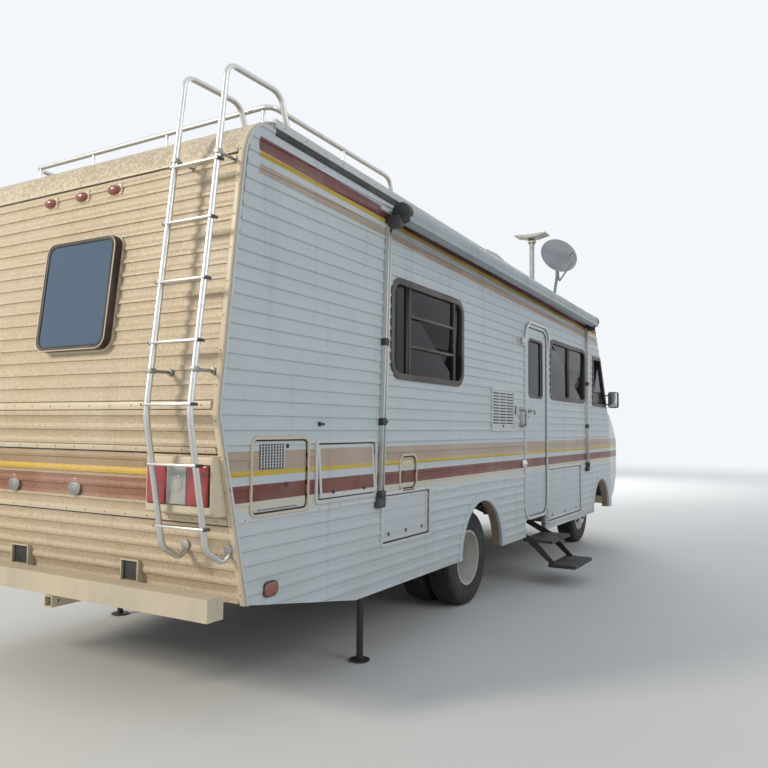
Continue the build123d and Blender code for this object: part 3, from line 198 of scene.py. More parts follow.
def mirrored(piece):
    """A copy of a piece on the other side of the vehicle."""
    twin = copy_to(piece, (0, 0, 0))
    twin.data.transform(Matrix.Scale(-1, 4, (0, 1, 0)))
    twin.data.flip_normals()
    return twin


def dress(piece, name, body, material, slot, replaces=()):
    """Names a finished piece, gives it its material, and makes it ride on a body. Its slot is not used."""
    piece.name = name
    piece.data.name = name
    piece.data.materials.clear()
    piece.data.materials.append(material)
    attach(piece, body)
    if replaces:
        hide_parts(*replaces)
    return piece


# Shapes


def block(low, high, edge=0.003, segments=2):
    """A box between two corners, with rounded edges."""
    low, high = Vector(low), Vector(high)
    bpy.ops.mesh.primitive_cube_add(size=1, location=(low + high) / 2)
    piece = bpy.context.object
    piece.scale = high - low
    settle(piece)
    return soften(piece, edge, segments) if edge else piece


def panel(x0, x1, z0, z1, radius, y0, y1, segments=6):
    """A plate in the plane of a side wall, from y0 to y1, with rounded corners seen from the side."""
    piece = block((x0, min(y0, y1), z0), (x1, max(y0, y1), z1), 0)
    if radius:
        pick(piece)
        bpy.ops.object.mode_set(mode="EDIT")
        bpy.ops.mesh.select_mode(type="EDGE")
        bpy.ops.mesh.select_all(action="DESELECT")
        leave_edit()
        for edge in piece.data.edges:
            a, b = (piece.data.vertices[n].co for n in edge.vertices)
            edge.select = abs(a.x - b.x) < 1e-6 and abs(a.z - b.z) < 1e-6
        bpy.ops.object.mode_set(mode="EDIT")
        bpy.ops.mesh.bevel(offset=radius, segments=segments, affect="EDGES")
        leave_edit()
    return piece


def ring(x0, x1, z0, z1, radius, band, y0, y1, edge=0.002):
    """A frame in the plane of a side wall: its outer corners, and the width of its band."""
    piece = panel(x0, x1, z0, z1, radius, y0, y1)
    hole = panel(x0 + band, x1 - band, z0 + band, z1 - band, max(radius - band, 0.004), y0 - 0.1, y1 + 0.1)
    cut(piece, hole)
    return soften(piece, edge) if edge else piece


def rod(a, b, radius, sides=20, edge=0.0):
    """A round bar between two points."""
    a, b = Vector(a), Vector(b)
    length = (b - a).length
    bpy.ops.mesh.primitive_cylinder_add(vertices=sides, radius=radius, depth=length, location=(a + b) / 2)
    piece = bpy.context.object
    piece.rotation_euler = (b - a).to_track_quat("Z", "Y").to_euler()
    settle(piece)
    if edge:
        return soften(piece, edge)
    return smooth(piece, 40)


def prism(points, y0, y1):
    """A solid across the vehicle with one side profile, given as (x, z) points."""
    bpy.ops.mesh.primitive_circle_add(vertices=len(points), fill_type="NGON")
    piece = bpy.context.object
    for vertex, (x, z) in zip(piece.data.vertices, points):
        vertex.co = (x, y0, z)
    edit(piece)
    bpy.ops.mesh.extrude_region_move(TRANSFORM_OT_translate={"value": (0, y1 - y0, 0)})
    bpy.ops.mesh.select_all(action="SELECT")
    bpy.ops.mesh.normals_make_consistent(inside=False)
    leave_edit()
    return piece


def tube(points, radius, sides=12):
    """A bent tube along points, rounded at its corners."""
    bpy.ops.curve.primitive_nurbs_path_add()
    piece = bpy.context.object
    piece.data.splines.clear()
    line = piece.data.splines.new("NURBS")
    line.points.add(len(points) - 1)
    for point, place in zip(line.points, points):
        point.co = (*place, 1)
    line.order_u = 3
    line.use_endpoint_u = True
    piece.data.bevel_depth = radius
    piece.data.bevel_resolution = sides // 4
    piece.data.use_fill_caps = True
    pick(piece)
    bpy.ops.object.convert(target="MESH")
    piece = bpy.context.object
    return smooth(piece, 50)


def bow(points, bend=0.3):
    """Points with each corner doubled, so that a tube keeps straight runs between tight bends."""
    points = [Vector(p) for p in points]
    line = [points[0]]
    for before, here, after in zip(points, points[1:], points[2:]):
        line += [here.lerp(before, bend), here, here.lerp(after, bend)]
    return line + [points[-1]]


def bent(points, reach):
    """Points with one more on each side of every corner, so that all the bends of a tube have one size."""
    points = [Vector(p) for p in points]
    line = [points[0]]
    for before, here, after in zip(points, points[1:], points[2:]):
        for end in (before, after):
            way = end - here
            beside = here + way.normalized() * min(reach, way.length * 0.48)
            line += [beside, here] if end is before else [beside]
    return line + [points[-1]]


def screws(name, places, normal, radius=0.0045, material=None, body="root"):
    """A row of small domed screw heads, joined into one piece."""
    normal = Vector(normal).normalized()
    bpy.ops.mesh.primitive_uv_sphere_add(segments=8, ring_count=6, radius=radius)
    head = bpy.context.object
    head.scale = (1, 1, 0.55)
    settle(head)
    head.data.transform(normal.to_track_quat("Z", "Y").to_matrix().to_4x4())
    heads = [copy_to(head, place) for place in places]
    bpy.data.objects.remove(head)
    piece = join(name, heads)
    smooth(piece, 60)
    return dress(piece, name, body, material or SCREW, "bright_metal")


# Node groups and materials


def add(tree, kind, joins=(), **settings):
    """Adds a node, sets its properties, and joins or sets its inputs."""
    item = tree.nodes.new(kind)
    for key, value in settings.items():
        setattr(item, key, value)
    for key, value in joins:
        if isinstance(value, bpy.types.NodeSocket):
            tree.links.new(value, item.inputs[key])
        else:
            item.inputs[key].default_value = value
    return item


def maths(tree, operation, a, b=0.0):
    """Output of a math node on two numbers or sockets."""
    return add(tree, "ShaderNodeMath", ((0, a), (1, b)), operation=operation).outputs[0]


def times(tree, a, b):
    """Product of two numbers or sockets."""
    return maths(tree, "MULTIPLY", a, b)


def plus(tree, a, b):
    """Sum of two numbers or sockets."""
    return maths(tree, "ADD", a, b)


def minus(tree, a, b):
    """Number or socket a less b."""
    return maths(tree, "SUBTRACT", a, b)


def mix(tree, share, a, b):
    """Colour that goes from a to b as share rises from 0 to 1."""
    item = add(tree, "ShaderNodeMix", ((0, share), (6, a), (7, b)), data_type="RGBA")
    return item.outputs[2]


def noise(tree, vector, scale, detail=4.0, rough=0.55, stretch=(1, 1, 1)):
    """Cloudy noise from 0 to 1, stretched along an axis where its factor is under 1."""
    if stretch != (1, 1, 1):
        vector = add(tree, "ShaderNodeMapping", (("Vector", vector), ("Scale", stretch))).outputs[0]
    item = add(tree, "ShaderNodeTexNoise", (("Vector", vector), ("Scale", scale), ("Detail", detail),
                                            ("Roughness", rough)))
    return item.outputs[0]


def steps(tree, value, low, high):
    """0 under low, 1 over high and a smooth rise between them."""
    item = add(tree, "ShaderNodeMapRange", (("Value", value), ("From Min", low), ("From Max", high)),
               interpolation_type="SMOOTHSTEP")
    return item.outputs[0]


def new_group(name, inputs, outputs):
    """An empty node group with named sockets: (name, type, default) rows in, (name, type) rows out."""
    tree = bpy.data.node_groups.new(name, "ShaderNodeTree")
    for label, kind, default in inputs:
        socket = tree.interface.new_socket(label, in_out="INPUT", socket_type="NodeSocket" + kind)
        if default is not None:
            socket.default_value = default
    for label, kind in outputs:
        tree.interface.new_socket(label, in_out="OUTPUT", socket_type="NodeSocket" + kind)
    return tree, tree.nodes.new("NodeGroupInput"), tree.nodes.new("NodeGroupOutput")


def use_group(tree, group, joins=()):
    """A node that holds a group, with its inputs joined or set."""
    return add(tree, "ShaderNodeGroup", joins, node_tree=group)


def band_group():
    """Mask of a painted band: 1 where Value lies between Low and High, with a crisp, slightly worn edge."""
    tree, source, sink = new_group(
        "painted band",
        (("Value", "Float", 0.0), ("Low", "Float", 0.0), ("High", "Float", 1.0), ("Soft", "Float", 0.0012)),
        (("Mask", "Float"),),
    )
    value, low, high, soft = (source.outputs[n] for n in range(4))
    rise = steps(tree, value, minus(tree, low, soft), plus(tree, low, soft))
    fall = steps(tree, value, minus(tree, high, soft), plus(tree, high, soft))
    tree.links.new(minus(tree, rise, fall), sink.inputs[0])
    return tree


def weather_group():
    """Outdoor wear: chalky blotches, rain streaks that run down, dust and splash low on the body."""
    tree, source, sink = new_group(
        "weather",
        (("Color", "Color", (0.8, 0.8, 0.8, 1)), ("Vector", "Vector", None), ("Dirt", "Float", 0.5),
         ("Streaks", "Float", 0.5), ("Dirt Color", "Color", DUST), ("Roughness", "Float", 0.4)),
        (("Color", "Color"), ("Roughness", "Float"), ("Height", "Float")),
    )
    colour, place, dirt, streaks, dirt_colour, rough = (source.outputs[n] for n in range(6))
    blotch = noise(tree, place, 2.2, 6.0, 0.6)
    fine = noise(tree, place, 34.0, 5.0, 0.65)
    run = noise(tree, place, 9.0, 4.0, 0.6, (1.0, 1.0, 0.06))
    height = add(tree, "ShaderNodeSeparateXYZ", ((0, place),)).outputs[2]
    splash = times(tree, steps(tree, height, 1.10, 0.42), steps(tree, blotch, 0.35, 0.70))
    grime = times(tree, times(tree, steps(tree, run, 0.53, 0.72), streaks), 0.34)
    patch = times(tree, steps(tree, fine, 0.56, 0.74), 0.13)
    low_dirt = times(tree, splash, 0.42)
    share = times(tree, plus(tree, plus(tree, low_dirt, patch), 0.03), dirt)
    share = maths(tree, "MINIMUM", plus(tree, share, grime), 0.85)
    faded = mix(tree, times(tree, steps(tree, blotch, 0.42, 0.62), 0.07), colour, (0.86, 0.85, 0.82, 1))
    tree.links.new(mix(tree, share, faded, dirt_colour), sink.inputs[0])
    rougher = plus(tree, rough, times(tree, share, 0.45))
    tree.links.new(maths(tree, "MINIMUM", plus(tree, rougher, times(tree, fine, 0.08)), 1.0),
                   sink.inputs[1])
    tree.links.new(fine, sink.inputs[2])
    return tree


def stucco_group():
    """Embossed aluminium sheet: small round pebbles, as a height, and a mask of the relief's high parts, used
    for painted shade.
    """
    tree, source, sink = new_group(
        "stucco emboss",
        (("Vector", "Vector", None), ("Scale", "Float", 130.0)),
        (("Height", "Float"), ("Painted Shade", "Float")),
    )
    cells = add(tree, "ShaderNodeTexVoronoi", (("Vector", source.outputs[0]), ("Scale", source.outputs[1])),
                feature="SMOOTH_F1")
    broken = noise(tree, source.outputs[0], 55.0, 3.0, 0.6)
    height = plus(tree, cells.outputs[0], broken)
    tree.links.new(height, sink.inputs[0])
    # mask for the painted shade on the emboss
    tree.links.new(steps(tree, height, 0.72, 1.05), sink.inputs[1])
    return tree


def side_stripes_group():
    """Stripes of the side walls: three at the waist, three under the roof that follow its slope."""
    tree, source, sink = new_group(
        "side stripes",
        (("Color", "Color", (0.8, 0.8, 0.8, 1)), ("Vector", "Vector", None)),
        (("Color", "Color"),),
    )
    parts = add(tree, "ShaderNodeSeparateXYZ", ((0, source.outputs[1]),))
    along, up = parts.outputs[0], parts.outputs[2]
    edge = times(tree, minus(tree, noise(tree, source.outputs[1], 60.0, 2.0), 0.5), 0.002)
    waist = plus(tree, up, edge)
    slope = times(tree, minus(tree, along, ROOF_START), ROOF_FALL)
    roof = plus(tree, plus(tree, up, slope), edge)
    colour = source.outputs[0]
    worn = noise(tree, source.outputs[1], 3.0, 6.0, 0.62)
    for _, on_slope, low, high, start, paint, pale in STRIPES:
        level = roof if on_slope else waist
        mask = use_group(tree, BAND, (("Value", level), ("Low", low), ("High", high))).outputs[0]
        mask = times(tree, mask, steps(tree, along, start - 0.001, start + 0.001))
        shade = mix(tree, times(tree, steps(tree, worn, 0.40, 0.66), 0.55), paint, pale)
        colour = mix(tree, mask, colour, shade)
    tree.links.new(colour, sink.inputs[0])
    return tree


# Stripes of the sides: name, follows the roof, low, high, rear end, paint, faded paint. Both paints are the
# stripes' hues set darker, as painted shade.
STRIPES = (
    ("tan", 0, 1.264, 1.363, -9.0, (0.420, 0.315, 0.235, 1), (0.470, 0.370, 0.290, 1)),
    ("yellow", 0, 1.238, 1.264, -9.0, (0.560, 0.400, 0.030, 1), (0.600, 0.450, 0.080, 1)),
    ("red", 0, 1.111, 1.195, -9.0, (0.165, 0.038, 0.024, 1), (0.220, 0.080, 0.058, 1)),
    ("cream", 0, 1.062, 1.111, -9.0, (0.620, 0.590, 0.500, 1), (0.660, 0.640, 0.560, 1)),
    ("roof red", 1, 2.896, 2.972, -3.818, (0.130, 0.022, 0.020, 1), (0.160, 0.034, 0.030, 1)),
    ("roof yellow", 1, 2.868, 2.896, -3.818, (0.500, 0.330, 0.020, 1), (0.540, 0.380, 0.050, 1)),
    ("roof tan", 1, 2.780, 2.832, -3.816, (0.400, 0.310, 0.240, 1), (0.440, 0.350, 0.280, 1)),
)
DUST = (0.16, 0.13, 0.09, 1)
BAND = band_group()
WEATHER = weather_group()
STUCCO = stucco_group()
SIDE_STRIPES = side_stripes_group()


def begin(name):
    """A material with a cleared Principled shader: (material, tree, shader, object coordinates)."""
    material = bpy.data.materials.new(name)
    material.use_nodes = True
    tree = material.node_tree
    shader = tree.nodes["Principled BSDF"]
    place = tree.nodes.new("ShaderNodeTexCoord").outputs["Object"]
    return material, tree, shader, place


def bump(tree, shader, height, strength, distance):
    """Gives a shader relief from a height: its strength, and its depth in metres."""
    item = add(tree, "ShaderNodeBump", (("Height", height), ("Strength", strength), ("Distance", distance)))
    tree.links.new(item.outputs[0], shader.inputs["Normal"])


def weathered(tree, shader, colour, place, dirt, streaks, rough, dirt_colour=DUST):
    """Gives a shader its colour and roughness through the outdoor wear. Returns the group's node."""
    worn = use_group(tree, WEATHER, (("Color", colour), ("Vector", place), ("Dirt", dirt),
                                     ("Streaks", streaks), ("Roughness", rough), ("Dirt Color", dirt_colour)))
    tree.links.new(worn.outputs[0], shader.inputs["Base Color"])
    tree.links.new(worn.outputs[1], shader.inputs["Roughness"])
    return worn


def outdoor(name, colour, rough=0.4, dirt=0.5, streaks=0.4, grain=0.0, grain_scale=400.0):
    """A weathered finish: plain colour with dust, streaks and, where grain is set, a fine moulded texture."""
    material, tree, shader, place = begin(name)
    worn = weathered(tree, shader, (*colour, 1), place, dirt, streaks, rough)
    if grain:
        bump(tree, shader, noise(tree, place, grain_scale, 3.0), grain, 0.001)
    else:
        bump(tree, shader, worn.outputs[2], 0.06, 0.001)
    return material


def rib_lip_shade(tree, place, up, start, pitch, lip_from, colour, dark):
    """Colour with painted shade under each rib's lower lip, counted from a height by the ribs' pitch."""
    ribs = maths(tree, "FRACT", maths(tree, "DIVIDE", minus(tree, up, start), pitch))
    # The band under each lip is painted shade, patchy in strength
    lip = steps(tree, ribs, lip_from, 0.99)
    patchy = plus(tree, times(tree, noise(tree, place, 4.0, 5.0, 0.6), 0.9), 0.15)
    return mix(tree, times(tree, times(tree, lip, patchy), 0.75), colour, dark)


def siding_paint():
    """White siding paint, set darker and bluer as painted shade, with painted shade under its ribs, the
    stripes of the sides, and brown panelling on the walls' inner faces.
    """
    material, tree, shader, place = begin("siding paint")
    parts = add(tree, "ShaderNodeSeparateXYZ", ((0, place),))
    # Painted shade: the white is set darker and bluer than the paint, with a shade line under each rib
    white = rib_lip_shade(tree, place, parts.outputs[2], RIB_START, RIB_PITCH, 0.86,
                        (0.530, 0.580, 0.605, 1), (0.260, 0.290, 0.305, 1))
    painted = use_group(tree, SIDE_STRIPES, (("Color", white), ("Vector", place)))
    inside = steps(tree, maths(tree, "ABSOLUTE", parts.outputs[1]), 1.205, 1.200)
    panelled = mix(tree, inside, painted.outputs[0], (0.300, 0.210, 0.130, 1))
    weathered(tree, shader, panelled, place, 0.45, 0.35, 0.42)
    pebble = use_group(tree, STUCCO, (("Vector", place), ("Scale", 150.0)))
    bump(tree, shader, pebble.outputs[0], 0.20, 0.0009)
    return material


def rear_paint():
    """Cream rear siding with tan, yellow and red bands between the two lamps, and painted shade under its
    ribs and on its emboss.
    """
    material, tree, shader, place = begin("rear paint")
    parts = add(tree, "ShaderNodeSeparateXYZ", ((0, place),))
    across, up = parts.outputs[1], parts.outputs[2]
    inner = use_group(tree, BAND, (("Value", across), ("Low", -0.745), ("High", 0.745))).outputs[0]
    squashed = maths(tree, "MAXIMUM", minus(tree, up, SQUASH_FROM), 0.0)
    ribs_up = plus(tree, up, times(tree, squashed, SQUASH / (1 - SQUASH)))
    # Painted shade: a broad brown band under each rib's lip
    colour = rib_lip_shade(tree, place, ribs_up, REAR_RIB_START, RIB_PITCH * REAR_RIB_STRETCH, 0.50,
                         (0.610, 0.500, 0.350, 1), (0.340, 0.225, 0.130, 1))
    worn_share = times(tree, steps(tree, noise(tree, place, 3.0, 6.0, 0.62), 0.40, 0.66), 0.5)
    for low, high, paint, pale in (
        (1.268, 1.359, (0.400, 0.260, 0.150, 1), (0.450, 0.310, 0.190, 1)),
        (1.232, 1.268, (0.700, 0.440, 0.020, 1), (0.720, 0.480, 0.060, 1)),
        (1.098, 1.215, (0.270, 0.090, 0.048, 1), (0.340, 0.145, 0.090, 1)),
    ):
        mask = use_group(tree, BAND, (("Value", up), ("Low", low), ("High", high))).outputs[0]
        shade = mix(tree, worn_share, paint, pale)
        colour = mix(tree, times(tree, mask, inner), colour, shade)
    pebble = use_group(tree, STUCCO, (("Vector", place), ("Scale", 70.0)))
    # Painted shade: the emboss's high parts are darkened
    colour = mix(tree, times(tree, pebble.outputs[1], 0.30), colour, (0.330, 0.250, 0.160, 1))
    weathered(tree, shader, colour, place, 0.5, 0.35, 0.40, (0.19, 0.15, 0.10, 1))
    bump(tree, shader, pebble.outputs[0], 0.70, 0.0022)
    return material


def cap_paint():
    """Cream sheet of the roof and its rolled rear end, with a coarse stucco emboss and painted shade on its
    relief.
    """
    material, tree, shader, place = begin("cap paint")
    pebble = use_group(tree, STUCCO, (("Vector", place), ("Scale", 48.0)))
    # Painted shade: the relief's high parts are darkened
    emboss_shade = times(tree, pebble.outputs[1], 0.55)
    colour = mix(tree, emboss_shade, (0.690, 0.590, 0.440, 1), (0.330, 0.255, 0.165, 1))
    weathered(tree, shader, colour, place, 0.60, 0.5, 0.45)
    bump(tree, shader, pebble.outputs[0], 0.95, 0.0035)
    return material


def mask_paint():
    """Glass fibre mask: white above the waist stripes, which run round it."""
    material, tree, shader, place = begin("mask paint")
    painted = use_group(tree, SIDE_STRIPES, (("Color", (0.620, 0.640, 0.640, 1)), ("Vector", place)))
    worn = weathered(tree, shader, painted.outputs[0], place, 0.40, 0.3, 0.30)
    shader.inputs["Coat Weight"].default_value = 0.25
    bump(tree, shader, worn.outputs[2], 0.05, 0.001)
    return material


def glass_tint(name, colour, metallic=0.0):
    """Dark tinted window glass, which mirrors the sky."""
    material, tree, shader, place = begin(name)
    dust = times(tree, noise(tree, place, 7.0, 6.0), 0.10)
    shader.inputs["Base Color"].default_value = (*colour, 1)
    shader.inputs["Metallic"].default_value = metallic
    tree.links.new(plus(tree, dust, 0.02), shader.inputs["Roughness"])
    shader.inputs["Specular IOR Level"].default_value = 0.18
    shader.inputs["Alpha"].default_value = 0.93
    bump(tree, shader, noise(tree, place, 1.6, 2.0), 0.04, 0.01)
    return material


def lens(name, colour, clear=0.0):
    """Moulded lamp lens with fine upright flutes."""
    material, tree, shader, place = begin(name)
    parts = add(tree, "ShaderNodeSeparateXYZ", ((0, place),))
    flute = maths(tree, "SINE", times(tree, parts.outputs[1], 900.0))
    grid = maths(tree, "SINE", times(tree, parts.outputs[2], 420.0))
    cloudy = steps(tree, noise(tree, place, 14.0), 0.35, 0.7)
    deep = tuple(c * 0.8 for c in colour) + (1,)
    tree.links.new(mix(tree, cloudy, (*colour, 1), deep), shader.inputs["Base Color"])
    shader.inputs["Roughness"].default_value = 0.16
    shader.inputs["Coat Weight"].default_value = 0.8
    shader.inputs["Transmission Weight"].default_value = clear
    bump(tree, shader, plus(tree, flute, times(tree, grid, 0.5)), 0.25, 0.0006)
    return material


def brushed(name, colour, rough=0.32, direction=(1, 1, 0.02), spots=0.35):
    """Bare aluminium or steel with drawn lines and dull spots."""
    material, tree, shader, place = begin(name)
    lines = noise(tree, place, 160.0, 3.0, 0.6, direction)
    dull = steps(tree, noise(tree, place, 16.0, 6.0, 0.7), 0.50, 0.75)
    shade = mix(tree, times(tree, dull, spots), (*colour, 1), tuple(c * 0.55 for c in colour) + (1,))
    tree.links.new(shade, shader.inputs["Base Color"])
    spread = plus(tree, times(tree, lines, 0.2), times(tree, dull, 0.22))
    tree.links.new(plus(tree, spread, rough - 0.1), shader.inputs["Roughness"])
    shader.inputs["Metallic"].default_value = 1.0
    bump(tree, shader, lines, 0.06, 0.0008)
    return material


def chassis_paint(name, colour, rust=0.45):
    """Black chassis paint with rust blooms and road dust."""
    material, tree, shader, place = begin(name)
    bloom = steps(tree, noise(tree, place, 6.5, 8.0, 0.7), 0.50, 0.66)
    fine = steps(tree, noise(tree, place, 60.0, 5.0, 0.7), 0.52, 0.70)
    rusty = mix(tree, fine, (0.120, 0.050, 0.022, 1), (0.060, 0.028, 0.016, 1))
    colour = mix(tree, times(tree, bloom, rust), (*colour, 1), rusty)
    dust = steps(tree, noise(tree, place, 2.0, 6.0, 0.6), 0.45, 0.75)
    colour = mix(tree, times(tree, dust, 0.35), colour, (0.150, 0.130, 0.105, 1))
    tree.links.new(colour, shader.inputs["Base Color"])
    tree.links.new(plus(tree, times(tree, bloom, 0.3), 0.55), shader.inputs["Roughness"])
    bump(tree, shader, times(tree, fine, bloom), 0.35, 0.0015)
    return material


def tyre_rubber():
    """Tyre rubber: black, greyed in patches by road dust, with a fine moulded grain."""
    material, tree, shader, place = begin("tyre rubber")
    dust = steps(tree, noise(tree, place, 5.0, 7.0, 0.65), 0.42, 0.72)
    colour = mix(tree, times(tree, dust, 0.55), (0.022, 0.022, 0.023, 1), (0.105, 0.094, 0.078, 1))
    tree.links.new(colour, shader.inputs["Base Color"])
    tree.links.new(plus(tree, times(tree, dust, 0.15), 0.74), shader.inputs["Roughness"])
    bump(tree, shader, noise(tree, place, 220.0, 3.0), 0.25, 0.001)
    return material


def cloth(name, colour, second, scale=900.0, rough=0.9):
    """Woven cloth with a fine crossed weave and soft colour drift."""
    material, tree, shader, place = begin(name)
    parts = add(tree, "ShaderNodeSeparateXYZ", ((0, place),))
    warp = maths(tree, "SINE", times(tree, plus(tree, parts.outputs[0], parts.outputs[1]), scale))
    weft = maths(tree, "SINE", times(tree, parts.outputs[2], scale))
    weave = times(tree, warp, weft)
    drift = steps(tree, noise(tree, place, 5.0, 6.0, 0.6), 0.35, 0.70)
    tree.links.new(mix(tree, drift, (*colour, 1), (*second, 1)), shader.inputs["Base Color"])
    shader.inputs["Roughness"].default_value = rough
    shader.inputs["Sheen Weight"].default_value = 0.25
    bump(tree, shader, weave, 0.20, 0.0006)
    return material


SIDING = siding_paint()
REAR = rear_paint()
CAP = cap_paint()
MASK = mask_paint()
TRIM = outdoor("trim white", (0.600, 0.610, 0.600), 0.34, 0.45, 0.35)
TRIM_CREAM = outdoor("trim cream", (0.650, 0.555, 0.405), 0.36, 0.45, 0.35)
ROOF = outdoor("roof sheet", (0.560, 0.550, 0.510), 0.60, 0.9, 0.1, grain=0.15, grain_scale=90.0)
BRONZE = outdoor("bronze anodised frame", (0.036, 0.019, 0.014), 0.42, 0.25, 0.1)
# Black rubber of seals and gaskets, also used for the dark plates of painted shade
RUBBER_AND_SHADE = outdoor("black rubber and painted shade", (0.018, 0.018, 0.018), 0.62, 0.25, 0.0, grain=0.10)
TINT = glass_tint("tinted glass", (0.008, 0.010, 0.012))
# Painted reflection: the rear glass's blue stands for the sky it mirrors
REAR_SKY_GLASS = glass_tint("rear window glass", (0.125, 0.175, 0.235), 0.75)
RED_LENS = lens("red lens", (0.360, 0.012, 0.012))
AMBER_LENS = lens("amber lens", (0.620, 0.170, 0.010))
CLEAR_LENS = lens("clear lens", (0.480, 0.480, 0.455), 0.10)
FADED_LENS = lens("faded red lens", (0.300, 0.070, 0.050))
ALUMINIUM = brushed("ladder aluminium", (0.640, 0.640, 0.620))
CHROME = brushed("bright metal", (0.720, 0.720, 0.710), 0.16, (1, 1, 1), 0.15)
SCREW = brushed("screw metal", (0.260, 0.240, 0.210), 0.50, (1, 1, 1), 0.5)
CHASSIS = chassis_paint("chassis paint", (0.020, 0.020, 0.021))
STEP_PAINT = chassis_paint("step paint", (0.024, 0.024, 0.025), 0.25)
GALVANISED = brushed("galvanised steel", (0.330, 0.330, 0.320), 0.50, (1, 1, 1), 0.55)
BEAM = outdoor("bumper cream", (0.600, 0.530, 0.400), 0.52, 0.75, 0.30)
RUBBER = tyre_rubber()
RIM = outdoor("wheel white", (0.620, 0.610, 0.570), 0.38, 0.95, 0.25)
AC_SHELL = outdoor("air conditioner shell", (0.580, 0.570, 0.530), 0.55, 0.7, 0.45, grain=0.10)
DISH = outdoor("dish paint", (0.300, 0.325, 0.350), 0.50, 0.40, 0.30)
PLASTIC_BLACK = outdoor("black plastic", (0.020, 0.020, 0.021), 0.50, 0.25, 0.1, grain=0.12)
GRILLE = outdoor("grille plastic", (0.420, 0.400, 0.350), 0.40, 0.5, 0.2)
# Painted shade: the whitish case is set darker and bluer
AWNING_CASE = outdoor("awning case", (0.370, 0.420, 0.440), 0.42, 0.6, 0.5)
SEAT_CLOTH = cloth("seat cloth", (0.120, 0.070, 0.045), (0.160, 0.100, 0.065), 1100.0)
CURTAIN = cloth("curtain cloth", (0.330, 0.270, 0.200), (0.270, 0.210, 0.150), 900.0)
DASH = outdoor("dash plastic", (0.055, 0.040, 0.032), 0.60, 0.2, 0.0, grain=0.25, grain_scale=300.0)
LINER = outdoor("box liner", (0.300, 0.290, 0.260), 0.70, 0.6, 0.1)
CARPET = cloth("floor covering", (0.110, 0.085, 0.060), (0.085, 0.065, 0.048), 500.0, 0.98)
TANK = outdoor("tank plastic", (0.050, 0.050, 0.050), 0.60, 0.9, 0.1, grain=0.10)
IRON = chassis_paint("cast iron", (0.050, 0.048, 0.045), 0.7)

# How a piece that stays on the body is dressed: its body, material and slot
# also dresses the dark plates of painted shade
RUBBER_AND_SHADE_PARTS = ("root", RUBBER_AND_SHADE, "window_bronze")
WHITE_TRIM = ("root", TRIM, "skin_white")
CREAM_TRIM = ("root", TRIM_CREAM, "cream")
BLACK_PARTS = ("root", PLASTIC_BLACK, "window_bronze")
DULL_METAL = ("root", GALVANISED, "bright_metal")
BARE_ALUMINIUM = ("root", ALUMINIUM, "bright_metal")
BRIGHT_PARTS = ("root", CHROME, "bright_metal")

# Finish of every CAD node, also of those that a piece below replaces
NODE_FINISHES = (
    (SIDING, ("side_wall_right", "side_wall_left", "entrance_door", "appliance_door", "rear_hatch",
              "lower_storage_door", "filler_door", "front_storage_door", "left_storage_door")),
    (REAR, ("rear_wall",)),
    (CAP, ("roof_panel",)),
    (MASK, ("front_cap",)),
    (CARPET, ("floor_pan",)),
    (LINER, ("storage_boxes",)),
    (CHASSIS, ("chassis_frame", "axles")),
    (IRON, ("knuckle_right", "knuckle_left", "drive_line")),
    (BRONZE, ("window_frames",)),
    (GRILLE, ("grille",)),
    (BEAM, ("bumpers",)),
    (ALUMINIUM, ("ladder", "roof_rails", "awning")),
    (AC_SHELL, ("air_conditioner", "roof_vent_lid", "antenna_wing")),
    (GALVANISED, ("antenna_mast",)),
    (DISH, ("satellite_dish",)),
    (STEP_PAINT, ("entry_step",)),
    (PLASTIC_BLACK, ("mirrors",)),
    (DASH, ("cab_fittings",)),
    (TANK, ("tanks",)),
    (TINT, ("door_glass", "window_glass")),
    (TRIM_CREAM, ("lamps",)),
    (RUBBER, ("rear_tyres_right", "rear_tyres_left", "front_tyre_right", "front_tyre_left")),
    (RIM, ("rear_rims_right", "rear_rims_left", "front_rim_right", "front_rim_left")),
)
for material, nodes in NODE_FINISHES:
    for node in nodes:
        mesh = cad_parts[node].data
        mesh.materials.clear()
        mesh.materials.append(material)


# Siding


def ribbed_sheet(length, height, stretch=1.0):
    """An upright sheet in the XZ plane, its rows of vertices in the ribs' corners, facing the right side."""
    count = int(height / (RIB_PITCH * stretch)) + 1
    bpy.ops.mesh.primitive_grid_add(x_subdivisions=1, y_subdivisions=4 * count, size=1)
    sheet = bpy.context.object
    sheet.rotation_euler = (pi / 2, 0, 0)
    settle(sheet)
    rows = (0.000, 0.003, 0.017, 0.036)
    depths = (0.0, RIB_DEPTH, RIB_DEPTH, 0.0)
    for vertex in sheet.data.vertices:
        n = round((vertex.co.z + 0.5) * 4 * count)
        up = (n // 4) * RIB_PITCH * stretch + rows[n % 4]
        vertex.co = ((vertex.co.x + 0.5) * length, -depths[n % 4], up)
    return sheet


def bisect(piece, place, normal, close=False):
    """Cuts off what lies beyond a plane, on the side its normal points to."""
    edit(piece)
    bpy.ops.mesh.bisect(plane_co=place, plane_no=normal, clear_outer=True, use_fill=close)
    leave_edit()


def back_up(sheet, back):
    """Gives an open sheet a flat back, so that it is closed: back gives each moved point its new place."""
    edit(sheet)
    bpy.ops.mesh.extrude_region_move(TRANSFORM_OT_translate={"value": (0, 0, 0)})
    leave_edit()
    for vertex in sheet.data.vertices:
        if vertex.select:
            vertex.co = back(vertex.co)
    edit(sheet)
    bpy.ops.mesh.normals_make_consistent(inside=False)
    leave_edit()


